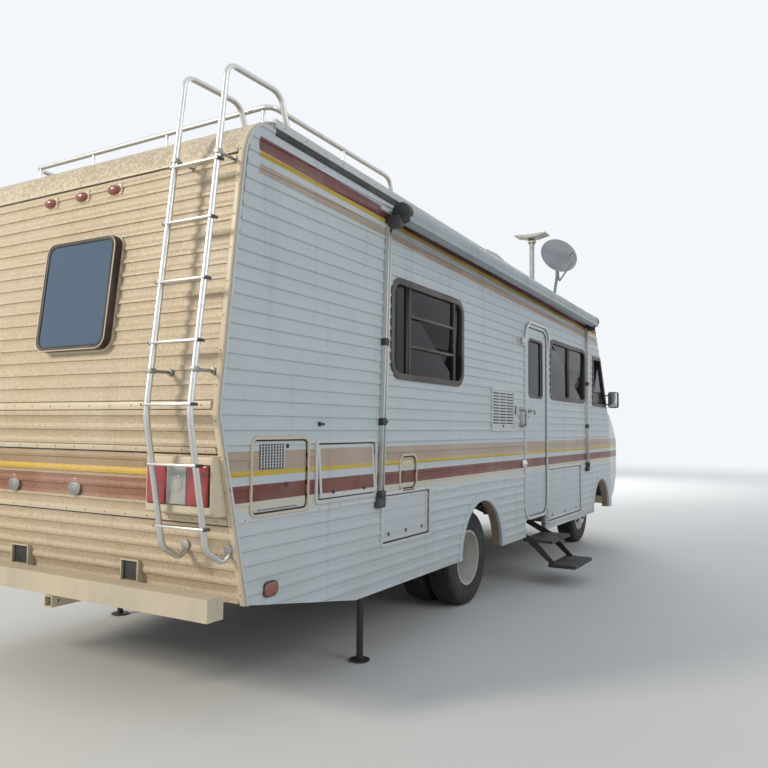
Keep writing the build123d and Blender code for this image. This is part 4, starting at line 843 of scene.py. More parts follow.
def siding(side):
    """Ribbed skin of one side wall, cut to the wall's outline and round its openings."""
    sheet = ribbed_sheet(8.2, 2.9)
    sheet.data.transform(Matrix.Translation((-4.2, -HALF - 0.003, RIB_START)))
    edges = [((x0, 0, z0), (z0 - z1, 0, x1 - x0)) for (x0, z0), (x1, z1) in zip(REAR_RUN, REAR_RUN[1:])]
    edges += [((x0, 0, z0), (z0 - z1, 0, x1 - x0)) for (x0, z0), (x1, z1) in zip(SEAM_RUN, SEAM_RUN[1:])]
    (x0, z0), x1 = REAR_RUN[0], TAIL_START
    edges += [((ROOF_START, 0, ROOF_REAR_Z - 0.055), (ROOF_FALL, 0, 1)), ((0, 0, SKIRT), (0, 0, -1)),
              ((x0, 0, z0), (SKIRT - z0, 0, x0 - x1))]
    for place, normal in edges:
        bisect(sheet, place, normal)
    back_up(sheet, lambda co: (co.x, -HALF - 0.0006, co.z))
    y0, y1 = -HALF - 0.06, -HALF + 0.06
    holes = [panel(*window, y0, y1) for window in WINDOWS]
    holes += [panel(*hatch, y0, y1) for hatch in hatches_of(side)]
    for x, r in ARCHES:
        holes.append(rod((x, y0, SKIRT), (x, y1, SKIRT), r + 0.055, 64))
    if side == RIGHT:
        holes.append(panel(*DOOR, y0, y1))
        holes.append(panel(*STEP_WELL, 0, y0, y1))
    x0, x1, z0, z1 = CAB_WINDOW
    pane = block((x0, y0, z0), (x1, y1, z1), 0)
    bisect(pane, (CAB_WINDOW_HEAD, 0, z1), (z1 - z0, 0, x1 - CAB_WINDOW_HEAD), close=True)
    for hole in holes + [pane]:
        cut(sheet, hole)
    if side == LEFT:
        sheet.data.transform(Matrix.Scale(-1, 4, (0, 1, 0)))
        sheet.data.flip_normals()
    return dress(sheet, "siding_right" if side == RIGHT else "siding_left", "root", SIDING, "skin_white")


def on_rear(piece, levels=True):
    """Bends a piece to the rear wall: its x is counted from the wall's face, outwards being negative."""
    if levels:
        for _, z in REAR_RUN[1:-1]:
            edit(piece)
            bpy.ops.mesh.bisect(plane_co=(0, 0, z), plane_no=(0, 0, 1))
            leave_edit()
    for vertex in piece.data.vertices:
        vertex.co.x += rear_x(vertex.co.z)
    return piece


def on_roof(piece):
    """Lays a piece along the roof's slope: its z is counted from the roof's face."""
    for vertex in piece.data.vertices:
        vertex.co.z += roof_z(vertex.co.x)
    return piece


def rear_siding():
    """Ribbed skin of the rear wall, bent to its bulge."""
    sheet = ribbed_sheet(2 * REAR_SKIN_HALF, REAR_RIBS_HEIGHT, REAR_RIB_STRETCH)
    for vertex in sheet.data.vertices:
        z = REAR_RIB_START + vertex.co.z
        z = min(z - max(0.0, z - SQUASH_FROM) * SQUASH, CAP_SEAM - 0.004)
        vertex.co = (rear_x(z) - 0.003 + 1.4 * vertex.co.y, REAR_SKIN_HALF - vertex.co.x, z)
    edit(sheet)
    bpy.ops.mesh.remove_doubles(threshold=0.0001)
    bpy.ops.mesh.dissolve_degenerate(threshold=0.0001)
    leave_edit()
    back_up(sheet, lambda co: (rear_x(co.z) + 0.002, co.y, co.z))
    cut(sheet, rear_window_hole())
    dress(sheet, "siding_rear", "root", REAR, "cream")


def rear_window_hole():
    """Cutter for the rear window, a little inside its frame."""
    y0, y1, z0, z1 = REAR_WINDOW
    return block((-4.3, y0 + 0.012, z0 + 0.012), (-3.6, y1 - 0.012, z1 - 0.012), 0)


def rear_shell():
    """What closes the rear end between its inner wall and its skin: the backing and the rolled roof end."""
    side = HALF - 0.0005
    outer = [(rear_x(z) + 0.001, z) for z in (1.600, 2.760, CAP_SEAM)]
    inner = [(x, z) for x, z in INNER_RUN if 1.6 < z < CAP_SEAM] + [(-4.044, 1.600)]
    wall = prism(outer + [(-3.788, CAP_SEAM)] + inner, -side, side)
    cut(wall, rear_window_hole())
    dress(wall, "rear_wall_backing", "root", REAR, "cream")
    outer = [(rear_x(CAP_SEAM) - 0.004, CAP_SEAM)] + [(x - 0.004, z + 0.003) for x, z in REAR_RUN[3:]]
    under = [(-3.600, 3.096), (-3.600, 3.060), (-3.690, 3.060), (-3.780, 2.900), (-3.788, CAP_SEAM)]
    roll = prism(outer + under, -side, side)
    smooth(roll, 35)
    dress(roll, "rolled_roof_end", "root", CAP, "cream")


siding(RIGHT)
siding(LEFT)
rear_siding()
rear_shell()

# Trims of the body


# Trims across the rear wall: name, z0, z1, how far they stand out
REAR_TRIMS = (
    ("waist_trim", 1.568, 1.607, 0.015),
    ("lamp_trim", 1.354, 1.383, 0.013),
    ("belt_trim", 1.005, 1.037, 0.013),
    ("cap_trim", 2.860, 2.884, 0.012),
    ("foot_trim", 0.612, 0.640, 0.010),
)
REAR_TRIM_HALF, REAR_FOOT_Z = 1.182, 0.606
BELT_RUNS = {                 # x0 and x1 of each length of the sides' belt trim
    RIGHT: ((-3.935, -1.300), (-0.340, 0.232), (0.893, 2.760)),
    LEFT: ((-3.935, -1.300), (-0.340, 2.760)),
}


def rear_trims():
    """Trims across the rear wall, each with a rubber under its lower edge and a row of screws."""
    spots = []
    for name, z0, z1, out in REAR_TRIMS:
        trim = on_rear(block((-out, -REAR_TRIM_HALF, z0), (0.004, REAR_TRIM_HALF, z1), 0.003))
        dress(trim, f"rear_{name}", *CREAM_TRIM)
        middle = (z0 + z1) / 2
        spots += [(rear_x(middle) - out - 0.0005, y / 100, middle) for y in range(-112, 120, 16)]
        lip = block((-0.006, -REAR_TRIM_HALF, z0 - 0.007), (0.004, REAR_TRIM_HALF, z0 - 0.0005), 0.001)
        dress(on_rear(lip), f"rear_{name}_seal", *RUBBER_AND_SHADE_PARTS)
    screws("rear_trim_screws", spots, (-1, 0, 0))


def corner_trims(side, word):
    """Cream trim up a rear corner with its screws, and its white lip on the side wall."""
    low, high = sorted((side * 1.193, skin(side, 0.004)))
    corner = block((-0.013, low, REAR_FOOT_Z), (0.010, high, 3.090), 0)
    dress(soften(on_rear(corner), 0.004), f"corner_trim_{word}", *CREAM_TRIM)
    low, high = layer(side, 0.0, 0.012)
    lip = block((0.000, low, REAR_FOOT_Z), (0.014, high, 3.080), 0)
    dress(soften(on_rear(lip), 0.003), f"corner_lip_{word}", *WHITE_TRIM)
    spots = [(rear_x(z / 100) - 0.0135, side * 1.207, z / 100) for z in range(66, 288, 17)]
    screws(f"corner_screws_{word}", spots, (-1, 0, 0))


def drip_rail(side, word):
    """Rail along the roof's edge with its screws, and the dark channel under it."""
    low, high = layer(side, -0.010, 0.015)
    rail = on_roof(block((ROOF_START, low, -0.050), (2.893, high, -0.003), 0.003))
    dress(rail, f"drip_rail_{word}", *WHITE_TRIM)
    low, high = layer(side, 0.0, 0.011)
    channel = on_roof(block((-3.690, low, -0.088), (2.880, high, -0.0505), 0.002))
    dress(channel, f"drip_channel_{word}", *RUBBER_AND_SHADE_PARTS)
    spots = [(x / 100, skin(side, 0.0155), roof_z(x / 100) - 0.027) for x in range(-362, 285, 19)]
    screws(f"drip_rail_screws_{word}", spots, (0, side, 0))


def belt_trim(side, word):
    """Trim along the upper edge of the storage doors, broken at the arches, the door and the hatches."""
    low, high = layer(side, 0.0, 0.0125)
    runs, holes = BELT_RUNS[side], hatches_of(side)
    belts = [block((x0, low, 1.014), (x1, high, 1.040), 0.003) for x0, x1 in runs]
    cutters = [panel(x0 - 0.02, x1 + 0.02, z0 - 0.02, z1 + 0.02, r + 0.01, side * 1.18, side * 1.26)
               for x0, x1, z0, z1, r in holes]
    dress(cut(join("belt", belts), *cutters), f"belt_trim_{word}", *WHITE_TRIM)
    spots = [(x / 100, skin(side, 0.013), 1.027) for x in range(-388, 270, 21)
             if any(x0 < x / 100 < x1 for x0, x1 in runs)
             and not any(x0 - 0.03 < x / 100 < x1 + 0.03 and z0 < 1.05 < z1 + 0.05
                         for x0, x1, z0, z1, _ in holes)]
    screws(f"belt_screws_{word}", spots, (0, side, 0))


def skirt_trim(side, word):
    """Trim along the skirt's lower edge, broken at the arches and the entry step."""
    low, high = layer(side, 0.0, 0.0125)
    foot = block((TAIL_START, low, SKIRT), (3.70, high, SKIRT + 0.022), 0.003)
    cutters = [rod((x, side * 1.1, SKIRT), (x, side * 1.3, SKIRT), r + 0.05, 48) for x, r in ARCHES]
    if side == RIGHT:
        cutters.append(block((0.236, side * 1.3, 0.3), (0.889, side * 1.1, 0.62), 0))
    dress(cut(foot, *cutters), f"skirt_trim_{word}", *WHITE_TRIM)


rear_trims()
for side, word in SIDES:
    corner_trims(side, word)
    drip_rail(side, word)
    belt_trim(side, word)
    skirt_trim(side, word)

# Windows


def muntins():
    """Sash bars: the middle sash of the rear side window has three lights, and the others slide."""
    (x0, x1, z0, z1, _), (a0, a1, b0, b1, _) = WINDOWS
    sash_rear, sash_front = x0 + 0.2 * (x1 - x0), x0 + 0.88 * (x1 - x0)
    middle = (a0 + a1) / 2
    for side, word in SIDES:
        low, high = sorted((side * 1.200, side * 1.228))
        levels = [z0 + share * (z1 - z0) for share in (0.34, 0.66)]
        bars = [block((sash_rear, low, z - 0.010), (sash_front, high, z + 0.010), 0.003) for z in levels]
        bars += [block((x - 0.009, low, z0 + 0.03), (x + 0.009, high, z1 - 0.03), 0.003)
                 for x in (sash_rear + 0.026, sash_front - 0.026)]
        bars += [block((x - 0.010, low, b0 + 0.03), (x + 0.010, high, b1 - 0.03), 0.003)
                 for x in (middle - 0.024, middle + 0.024)]
        dress(join("muntins", bars), f"sash_bars_{word}", "root", BRONZE, "window_bronze")
        seals = [ring(left + 0.020, right - 0.020, foot + 0.020, head - 0.020, r - 0.020, 0.014,
                      side * 1.190, side * 1.206) for left, right, foot, head, r in WINDOWS]
        dress(join("seals", seals), f"window_seals_{word}", *RUBBER_AND_SHADE_PARTS)


muntins()

# Rear window: deep box frame, rubber, and its pale outer lip


def lean_back(piece, across):
    """Turns a piece made in the plane of a side wall to the rear wall's plane, mirrored about across / 2."""
    low, high = 1.950, 2.450
    lean = (rear_x(high) - rear_x(low)) / (high - low)
    for vertex in piece.data.vertices:
        y, depth, z = vertex.co
        vertex.co = (rear_x(WINDOW_FOOT) + lean * (z - WINDOW_FOOT) + depth, across - y, z)
    return piece


def kept_part(node, name, material, slot, out=0.0):
    """A copy of a node's solids, set out a little at the sides, without the rear window."""
    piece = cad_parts[node].copy()
    piece.data = piece.data.copy()
    bpy.context.collection.objects.link(piece)
    edit(piece)
    bpy.ops.mesh.remove_doubles(threshold=0.00001)
    bpy.ops.mesh.select_all(action="DESELECT")
    leave_edit()
    for vertex in piece.data.vertices:
        vertex.select = vertex.co.x < -3.700
        if out and abs(vertex.co.y) > 1.150:
            vertex.co.y += out if vertex.co.y > 0 else -out
    bpy.ops.object.mode_set(mode="EDIT")
    bpy.ops.mesh.select_mode(type="VERT")
    bpy.ops.mesh.delete(type="VERT")
    leave_edit()
    bpy.ops.object.shade_smooth_by_angle(angle=radians(30))
    return dress(piece, name, "root", material, slot, (node,))


def rear_window():
    """The rear window's deep frame, pale lips, rubber, pane and blind, and the other windows' CAD parts."""
    kept_part("window_frames", "side_and_cab_frames", BRONZE, "window_bronze")
    kept_part("window_glass", "side_and_cab_glass", TINT, "glass_tinted", 0.012)
    low, high, foot, head = REAR_WINDOW
    for name, grow, r, band, near, far, material in (
        ("rear_window_box", 0.000, 0.070, 0.022, -0.056, 0.021, BRONZE),
        ("rear_window_face", -0.001, 0.069, 0.006, -0.060, -0.054, TRIM_CREAM),
        ("rear_window_flange", 0.010, 0.080, 0.016, -0.012, 0.004, TRIM_CREAM),
        ("rear_window_rubber", -0.018, 0.054, 0.010, -0.058, 0.000, RUBBER_AND_SHADE),
    ):
        y0, y1, z0, z1 = low - grow, high + grow, foot - grow, head + grow
        frame_part = ring(y0, y1, z0, z1, r, band, near, far, 0.004)
        dress(lean_back(frame_part, y0 + y1), name, "root", material, "window_bronze")
    pane = panel(low + 0.024, high - 0.024, foot + 0.024, head - 0.024, 0.046, -0.053, -0.049)
    dress(lean_back(pane, low + high), "rear_window_pane", "root", REAR_SKY_GLASS, "glass_tinted")
    blind = panel(low + 0.014, high - 0.014, foot + 0.014, head - 0.014, 0.034, 0.014, 0.018)
    dress(lean_back(blind, low + high), "rear_window_blind", "root", CURTAIN, "glass_tinted")


rear_window()

# Lamps


def dome(place, size, out, segments=24):
    """A rounded oval lens: half an ellipsoid that bulges along out."""
    bpy.ops.mesh.primitive_uv_sphere_add(segments=segments, ring_count=16, radius=1, location=place)
    piece = bpy.context.object
    piece.scale = size
    settle(piece)
    bisect(piece, place, -Vector(out), close=True)
    return smooth(piece, 40)


CLEARANCE_Z, CLEARANCE_YS = 2.793, (0.244, -0.035, -0.307)
TAIL_WEDGE = (0.752, 1.196, 1.052, 1.340)      # y0, y1, z0, z1 on the left
TAIL_LAMP = (0.768, 1.184, 1.102, 1.303)
HEADLAMP_Y = 0.830
BOSS_Z, BOSS_YS = 1.146, (-0.099, 0.440)
STUB_MOUTHS = ((0.4835, 0.0715), (-0.460, 0.059))      # y of the middle, half width


def clearance_lamps():
    """Three red lamps over the rear window, on pale bases."""
    lenses, bases = [], []
    x, z = rear_x(CLEARANCE_Z) - 0.008, CLEARANCE_Z
    for y in CLEARANCE_YS:
        bases.append(block((x - 0.008, y - 0.060, z - 0.035), (x + 0.010, y + 0.060, z + 0.035), 0.012, 4))
        lenses.append(dome((x - 0.006, y, z), (0.030, 0.052, 0.029), (-1, 0, 0)))
    dress(join("caps", lenses), "rear_clearance_lenses", "root", FADED_LENS, "lamp_red", ("lamps",))
    dress(join("seats", bases), "rear_clearance_bases", *CREAM_TRIM)


def tail_lamp(side, word):
    """A lamp of two red lenses with a clear one between them, on a wedge that stands upright on the bulge."""
    z0, z1 = TAIL_WEDGE[2:]
    y0, y1 = sorted(side * y for y in TAIL_WEDGE[:2])
    wedge = block((-4.078, y0, z0), (-3.930, y1, z1), 0)
    bisect(wedge, (-4.078, 0, 1.065), (-0.30, 0, -1), close=True)
    dress(soften(wedge, 0.010, 3), f"tail_lamp_wedge_{word}", *CREAM_TRIM)
    z0, z1 = TAIL_LAMP[2:]
    y0, y1 = sorted(side * y for y in TAIL_LAMP[:2])
    base = block((-4.083, y0, z0), (-4.070, y1, z1), 0.006)
    dress(base, f"tail_lamp_base_{word}", *RUBBER_AND_SHADE_PARTS)
    width = (y1 - y0 - 0.012) / 3
    starts = [y0 + 0.006 + n * width for n in range(3)]
    low, high = z0 + 0.006, z1 - 0.006
    first, middle, last = [block((-4.093, y + 0.001, low), (-4.078, y + width - 0.001, high), 0.006, 3)
                           for y in starts]
    bulb = rod((-4.0955, (y0 + y1) / 2, 1.208), (-4.092, (y0 + y1) / 2, 1.208), 0.044, 32, 0.0015)
    dress(join("clear", [middle, bulb]), f"reversing_lamp_{word}", "root", CLEAR_LENS, "lamp_red")
    dress(join("reds", [first, last]), f"tail_lamp_lenses_{word}", "root", RED_LENS, "lamp_red")


def side_marker(side, word):
    """Red marker low at the rear of a side, on a dark base."""
    low, high = layer(side, 0.004, 0.014)
    dress(panel(-3.728, -3.608, 0.620, 0.698, 0.036, low, high), f"side_marker_base_{word}", *RUBBER_AND_SHADE_PARTS)
    low, high = layer(side, 0.006, 0.020)
    lens_piece = soften(panel(-3.722, -3.614, 0.626, 0.692, 0.032, low, high), 0.006, 3)
    dress(lens_piece, f"side_marker_{word}", "root", FADED_LENS, "lamp_red")


def headlamps(side, word):
    """A bezel with two square headlamps, and the turn signal under it."""
    y = side * HEADLAMP_Y
    bezel = block((4.120, y - 0.214, 1.076), (4.172, y + 0.214, 1.224), 0.010, 3)
    dress(bezel, f"headlamp_bezel_{word}", *BRIGHT_PARTS)
    glasses = [block((4.160, at - 0.092, 1.092), (4.180, at + 0.092, 1.208), 0.014, 3)
               for at in (y - 0.100, y + 0.100)]
    dress(join("glasses", glasses), f"headlamp_glasses_{word}", "root", CLEAR_LENS, "lamp_red")
    signal = block((4.150, y - 0.170, 0.980), (4.176, y + 0.170, 1.040), 0.010, 3)
    dress(signal, f"turn_signal_{word}", "root", AMBER_LENS, "lamp_red")


def bosses_and_mouths():
    """Two plain round bosses on the rear wall's red band, and dark plates of painted shade in the open ends
    of the beam's tube stubs.
    """
    x, z, bosses = rear_x(BOSS_Z), BOSS_Z, []
    for y in BOSS_YS:
        bosses.append(rod((x - 0.015, y, z), (x + 0.004, y, z), 0.050, 48, 0.002))
        bosses.append(rod((x - 0.017, y, z), (x - 0.013, y, z), 0.036, 40, 0.001))
    dress(join("bosses", bosses), "rear_bosses", *DULL_METAL)
    mouth_shades = [block((-3.893, y - half, 0.658), (-3.886, y + half, 0.762), 0)
              for y, half in STUB_MOUTHS]
    dress(join("mouth_shades", mouth_shades), "beam_stub_mouth_shade", *RUBBER_AND_SHADE_PARTS)


clearance_lamps()
for side, word in SIDES:
    tail_lamp(side, word)
    side_marker(side, word)
    headlamps(side, word)
ambers = [dome((3.030, y, 2.905), (0.055, 0.055, 0.030), (0.5, 0, 1))
          for y in (-0.90, -0.30, 0.0, 0.30, 0.90)]
dress(join("ambers", ambers), "front_clearance_lenses", "root", AMBER_LENS, "lamp_red")
bosses_and_mouths()

# Hatches


ROUND_HATCHES = ("appliance_door", "filler_door")     # with rounded corners and a skin of their own
LATCHES = {                   # places of the latches as (x, z); the other hatches have three along their foot
    "appliance_door": ((-3.540, 1.385), (-3.540, 1.180)),
    "filler_door": ((-2.240, 1.180),),
    "rear_hatch": ((-3.120, 1.112), (-2.780, 1.112)),
}


def latch(x, z, side, out, size=0.013):
    """A round latch: escutcheon and knob, standing out from the side wall's face."""
    disc = rod((x, skin(side, out), z), (x, skin(side, out + 0.003), z), size, 24, 0.001)
    knob = rod((x, skin(side, out + 0.002), z), (x, skin(side, out + 0.0045), z), size * 0.6, 16, 0.001)
    return [disc, knob]


def appliance_grille():
    """Grille of the appliance door: upright and level slats over a dark plate of painted shade in its well,
    and a dark strip of painted shade for the door's drain slot.
    """
    well = panel(-3.772, -3.568, 1.268, 1.397, 0.004, right_y(0.001), right_y(0.0045))
    slats = [block((x, right_y(0.0085), 1.270), (x + 0.007, right_y(0.004), 1.395), 0.001)
             for x in [-3.762 + 0.0235 * n for n in range(9)]]
    slats += [block((-3.770, right_y(0.0072), z), (-3.570, right_y(0.004), z + 0.0028), 0.0006)
              for z in [1.281 + 0.0148 * n for n in range(8)]]
    slot = block((-3.780, right_y(0.0048), 1.062), (-3.450, right_y(0.003), 1.067), 0.001)
    return [(well, "appliance_grille_shade", RUBBER_AND_SHADE, "window_bronze"),
            (join("slats", slats), "appliance_grille", TRIM, "skin_white"),
            (slot, "appliance_drain_slot_shade", RUBBER_AND_SHADE, "window_bronze")]


def hatch_leaf(name):
    """Pieces that ride on a hatch's leaf: (piece, name, material, slot) rows."""
    x0, x1, z0, z1, r, side = HATCHES[name]
    near, far = skin(side, -0.003), skin(side, 0.004)
    parts = []
    if name in ROUND_HATCHES:
        face = soften(panel(x0 + 0.010, x1 - 0.010, z0 + 0.010, z1 - 0.010, r - 0.008, near, far), 0.002)
        parts.append((face, f"{name}_skin", SIDING, "skin_white"))
    else:
        edge = ring(x0 + 0.009, x1 - 0.009, z0 + 0.009, z1 - 0.009, 0.010, 0.020, near, far, 0.0015)
        parts.append((edge, f"{name}_edge", TRIM, "skin_white"))
    spots = LATCHES.get(name) or [(x0 + share * (x1 - x0), z0 + 0.055) for share in (0.14, 0.50, 0.86)]
    knobs = []
    for x, z in spots:
        knobs += latch(x, z, side, 0.004 if name in ROUND_HATCHES else 0.0005)
    parts.append((join("knobs", knobs), f"{name}_latches", PLASTIC_BLACK, "window_bronze"))
    if name == "appliance_door":
        parts += appliance_grille()
    if name == "filler_door":
        plate = block((-2.262, skin(side, 0.0055), 1.214), (-2.110, skin(side, 0.003), 1.262), 0.002)
        parts.append((plate, "filler_plate", TRIM_CREAM, "skin_white"))
    return parts


def hatches():
    """Frame and gasket of each hatch, and what its leaf carries. The rear hatch stands ajar."""
    for name, (x0, x1, z0, z1, r, side) in HATCHES.items():
        is_round = name in ROUND_HATCHES
        band = 0.014 if is_round else 0.024
        surround = ring(x0 - band, x1 + band, z0 - band, z1 + band, r + band, band,
                        skin(side, -0.002), skin(side, 0.015), 0.003)
        dress(surround, f"{name}_frame", "root", TRIM_CREAM if is_round else TRIM, "skin_white")
        gasket = ring(x0, x1, z0, z1, max(r, 0.012), 0.005, skin(side, -0.030), skin(side, 0.002), 0)
        dress(gasket, f"{name}_gasket", *RUBBER_AND_SHADE_PARTS)
        hinge = Matrix.Translation((0, skin(side, 0.006), z1 - 0.004))
        ajar = hinge @ Matrix.Rotation(radians(-4), 4, "X") @ hinge.inverted()
        for piece, label, material, slot in hatch_leaf(name):
            if name == "rear_hatch":
                piece.data.transform(ajar)
            dress(piece, label, name, material, slot)
    catch = [block((-3.262, right_y(0.018), 1.492), (-3.246, right_y(0.004), 1.516), 0.002),
             block((-3.246, right_y(0.014), 1.497), (-3.206, right_y(0.004), 1.511), 0.002)]
    dress(join("catch", catch), "hatch_catch", *BLACK_PARTS)


hatches()

# Entrance


def entrance():
    """Frame, gasket, drip cap and window frame of the entrance door, with its lever and lock."""
    x0, x1, z0, z1, r = DOOR
    surround = ring(x0 - 0.030, x1 + 0.030, z0 - 0.030, z1 + 0.030, r + 0.030, 0.030,
                    right_y(-0.002), right_y(0.017), 0.004)
    dress(surround, "door_frame", *WHITE_TRIM)
    gasket = ring(x0, x1, z0, z1, r, 0.006, right_y(-0.040), right_y(0.003), 0)
    dress(gasket, "door_gasket", *RUBBER_AND_SHADE_PARTS)
    cap = ring(x0 - 0.052, x1 + 0.052, z0, z1 + 0.052, r + 0.052, 0.018, right_y(-0.002), right_y(0.034), 0)
    bisect(cap, (0, 0, 2.330), (0, 0, -1), close=True)
    dress(soften(cap, 0.004), "door_drip_cap", *BARE_ALUMINIUM)
    pane = ring(0.345, 0.786, 1.793, 2.392, 0.062, 0.026, right_y(-0.004), right_y(0.0045), 0.003)
    dress(pane, "door_window_frame", "entrance_door", BRONZE, "window_bronze")
    x, z = 0.352, 1.660
    handle = [(x, right_y(0.003), z), (x, right_y(0.030), 1.664), (0.440, right_y(0.032), 1.668),
              (0.452, right_y(0.030), 1.630)]
    lever = [rod((x, right_y(0.0), z), (x, right_y(0.0045), z), 0.024, 28, 0.002), tube(bow(handle), 0.008),
             rod((x, right_y(0.0), 1.598), (x, right_y(0.005), 1.598), 0.013, 20, 0.002)]
    dress(join("lever", lever), "door_lever", "entrance_door", GALVANISED, "bright_metal")


def beside_entrance():
    """Holdback for the door, grab handle, outside socket and porch lamp."""
    striker = [block((0.120, right_y(0.030), 1.122), (0.205, right_y(0.0), 1.186), 0.006),
               block((0.150, right_y(0.040), 1.135), (0.200, right_y(0.020), 1.172), 0.006)]
    dress(join("striker", striker), "door_holdback", *BRIGHT_PARTS)
    x, near, far = 0.113, right_y(0.008), right_y(0.056)
    grip = [(x, near, 1.512), (x, far, 1.520), (x, far, 1.658), (x, near, 1.666)]
    grab = [block((0.071, right_y(0.012), 1.494), (0.155, right_y(0.0), 1.684), 0.006),
            tube(bow(grip), 0.010)]
    dress(join("grab", grab), "grab_handle", *DULL_METAL)
    socket = soften(panel(-0.092, -0.040, 1.618, 1.706, 0.024, right_y(0.0), right_y(0.016)), 0.004)
    dress(socket, "outside_socket", *BLACK_PARTS)
    lamp_base = soften(panel(0.017, 0.215, 2.292, 2.366, 0.012, right_y(0.0), right_y(0.022)), 0.005)
    dress(lamp_base, "porch_lamp_base", *WHITE_TRIM)
    lamp_lens = soften(panel(0.030, 0.130, 2.300, 2.358, 0.012, right_y(0.018), right_y(0.052)), 0.010, 3)
    dress(lamp_lens, "porch_lamp_lens", "root", CLEAR_LENS, "lamp_red")


entrance()
beside_entrance()


FRIDGE_VENT = (-0.654, -0.093, 1.465, 1.849)


def fridge_vent():
    """Vent panel between the windows: three columns of slats with dark strips of painted shade between them,
    and a lock.
    """
    x0, x1, z0, z1 = FRIDGE_VENT
    surround = ring(x0, x1, z0, z1, 0.012, 0.020, right_y(-0.001), right_y(0.018), 0.003)
    dress(surround, "fridge_vent_frame", *WHITE_TRIM)
    sheet = panel(x0 + 0.02, x1 - 0.02, z0 + 0.02, z1 - 0.02, 0.004, right_y(0.0), right_y(0.011))
    dress(soften(sheet, 0.001), "fridge_vent_panel", *WHITE_TRIM)
    slats, gap_shades = [], []
    column = (x1 - x0 - 0.10) / 3
    for n in range(3):
        left = x0 + 0.035 + n * (column + 0.015)
        right = left + column
        for m in range(11):
            z = z0 + 0.075 + m * 0.0265
            slats.append(block((left, right_y(0.019), z), (right, right_y(0.010), z + 0.008), 0.002))
            # painted shade between the slats
            gap_shades.append(block((left + 0.004, right_y(0.0125), z - 0.010), (right - 0.004, right_y(0.010), z),
                              0.001))
    dress(join("slats", slats), "fridge_vent_slats", *WHITE_TRIM)
    dress(join("gap_shades", gap_shades), "fridge_vent_gap_shade", *RUBBER_AND_SHADE_PARTS)
    x, z = (x0 + x1) / 2, z0 + 0.044
    lock = rod((x, right_y(0.010), z), (x, right_y(0.016), z), 0.012, 24, 0.002)
    dress(lock, "fridge_vent_lock", *BLACK_PARTS)


fridge_vent()

# Ladder: two hooked stiles of round tube, flat rungs with plugged ends, wall brackets and feet

STILES, STILE_R = (-0.888, -1.172), 0.0158
STILE_RUN = ((-3.896, 0.880), (-3.975, 0.832), (-4.087, 0.898), (-4.212, 1.545), (-4.009, 3.289),
             (-3.594, 3.300), (-3.500, 3.086))
BRACKET_HEIGHTS, HOOK_Z = (1.750, 2.820), 0.884
RUNG_HEIGHTS = (1.003, 1.302, 1.587, 1.887, 2.187, 2.488, 2.783)


def stile_x(z):
    """X of a stile's centre line at height z, between its hook and its top bend."""
    for (x0, z0), (x1, z1) in zip(STILE_RUN[2:], STILE_RUN[3:5]):
        if z <= z1:
            return x0 + (x1 - x0) * (z - z0) / (z1 - z0)


def ladder():
    """Stiles hooked at the foot and over the roof's edge, their brackets and feet, and the rungs."""
    parts, plugs, feet = [], [], []
    for y in STILES:
        hook = bent([(x, y, z) for x, z in STILE_RUN[:4]], 0.085)
        top = bent([(x, y, z) for x, z in STILE_RUN[3:]], 0.150)
        bend = [Vector((stile_x(z), y, z)) for z in (1.42, 1.545, 1.67)]
        parts.append(tube(hook[:-1] + bend + top[1:], STILE_R, 16))
        for z, size in ((HOOK_Z, 0.026), *[(height, 0.018) for height in BRACKET_HEIGHTS]):
            face = rear_x(z) - 0.012
            feet.append(rod((face + 0.012, y, z), (face - 0.006, y, z), size, 20, 0.002))
        for z in BRACKET_HEIGHTS:
            x = stile_x(z)
            feet.append(rod((rear_x(z) - 0.008, y, z), (x, y, z), 0.008, 12))
            feet.append(block((x - 0.019, y - 0.018, z - 0.014), (x + 0.019, y + 0.018, z + 0.014), 0.005))
        feet.append(on_roof(rod((-3.500, y, -0.004), (-3.500, y, 0.012), 0.030, 24, 0.003)))
    for z in RUNG_HEIGHTS:
        x = stile_x(z)
        parts.append(block((x - 0.021, -1.190, z - 0.0062), (x + 0.021, -0.870, z + 0.0062), 0.004))
        for y in (-0.868, -1.192):
            plugs.append(block((x - 0.020, y - 0.006, z - 0.0075), (x + 0.024, y + 0.006, z + 0.0075), 0.004))
    dress(join("ladder", parts), "ladder_tubes", *BARE_ALUMINIUM, ("ladder",))
    dress(join("plugs", plugs), "ladder_rung_plugs", *BLACK_PARTS)
    dress(join("feet", feet), "ladder_feet", *DULL_METAL)


ladder()

# Roof rail: one round tube across the rear and along both sides, on short posts

RAIL_Z, RAIL_Y, RAIL_FRONT = 3.270, 1.060, -2.110
RAIL_POSTS = ((-3.520, -1.000), (-3.515, -0.240), (-3.507, 0.440), (-3.500, 1.000), (-2.790, -1.060),
              (-2.790, 1.060))


def roof_rail():
    """The rail with its bends, its posts and their round feet."""
    front_z = roof_z(RAIL_FRONT)
    path = [(RAIL_FRONT, -RAIL_Y, front_z), (-2.190, -RAIL_Y, RAIL_Z), (-3.530, -RAIL_Y, RAIL_Z + 0.010),
            (-3.500, RAIL_Y, RAIL_Z + 0.010), (-2.190, RAIL_Y, RAIL_Z), (RAIL_FRONT, RAIL_Y, front_z)]
    parts = [tube(bent(path, 0.150), 0.0155, 16)]
    for x, y in RAIL_POSTS:
        parts.append(rod((x, y, roof_z(x) - 0.004), (x, y, RAIL_Z + 0.004), 0.011, 16))
    for x, y in (*RAIL_POSTS, (RAIL_FRONT, -RAIL_Y), (RAIL_FRONT, RAIL_Y)):
        parts.append(rod((x, y, roof_z(x) - 0.004), (x, y, roof_z(x) + 0.008), 0.030, 24, 0.003))
    dress(join("rail", parts), "roof_rail_tubes", *BARE_ALUMINIUM, ("roof_rails",))


roof_rail()

# Awning: roll in its case, end castings, and two arms with their brackets


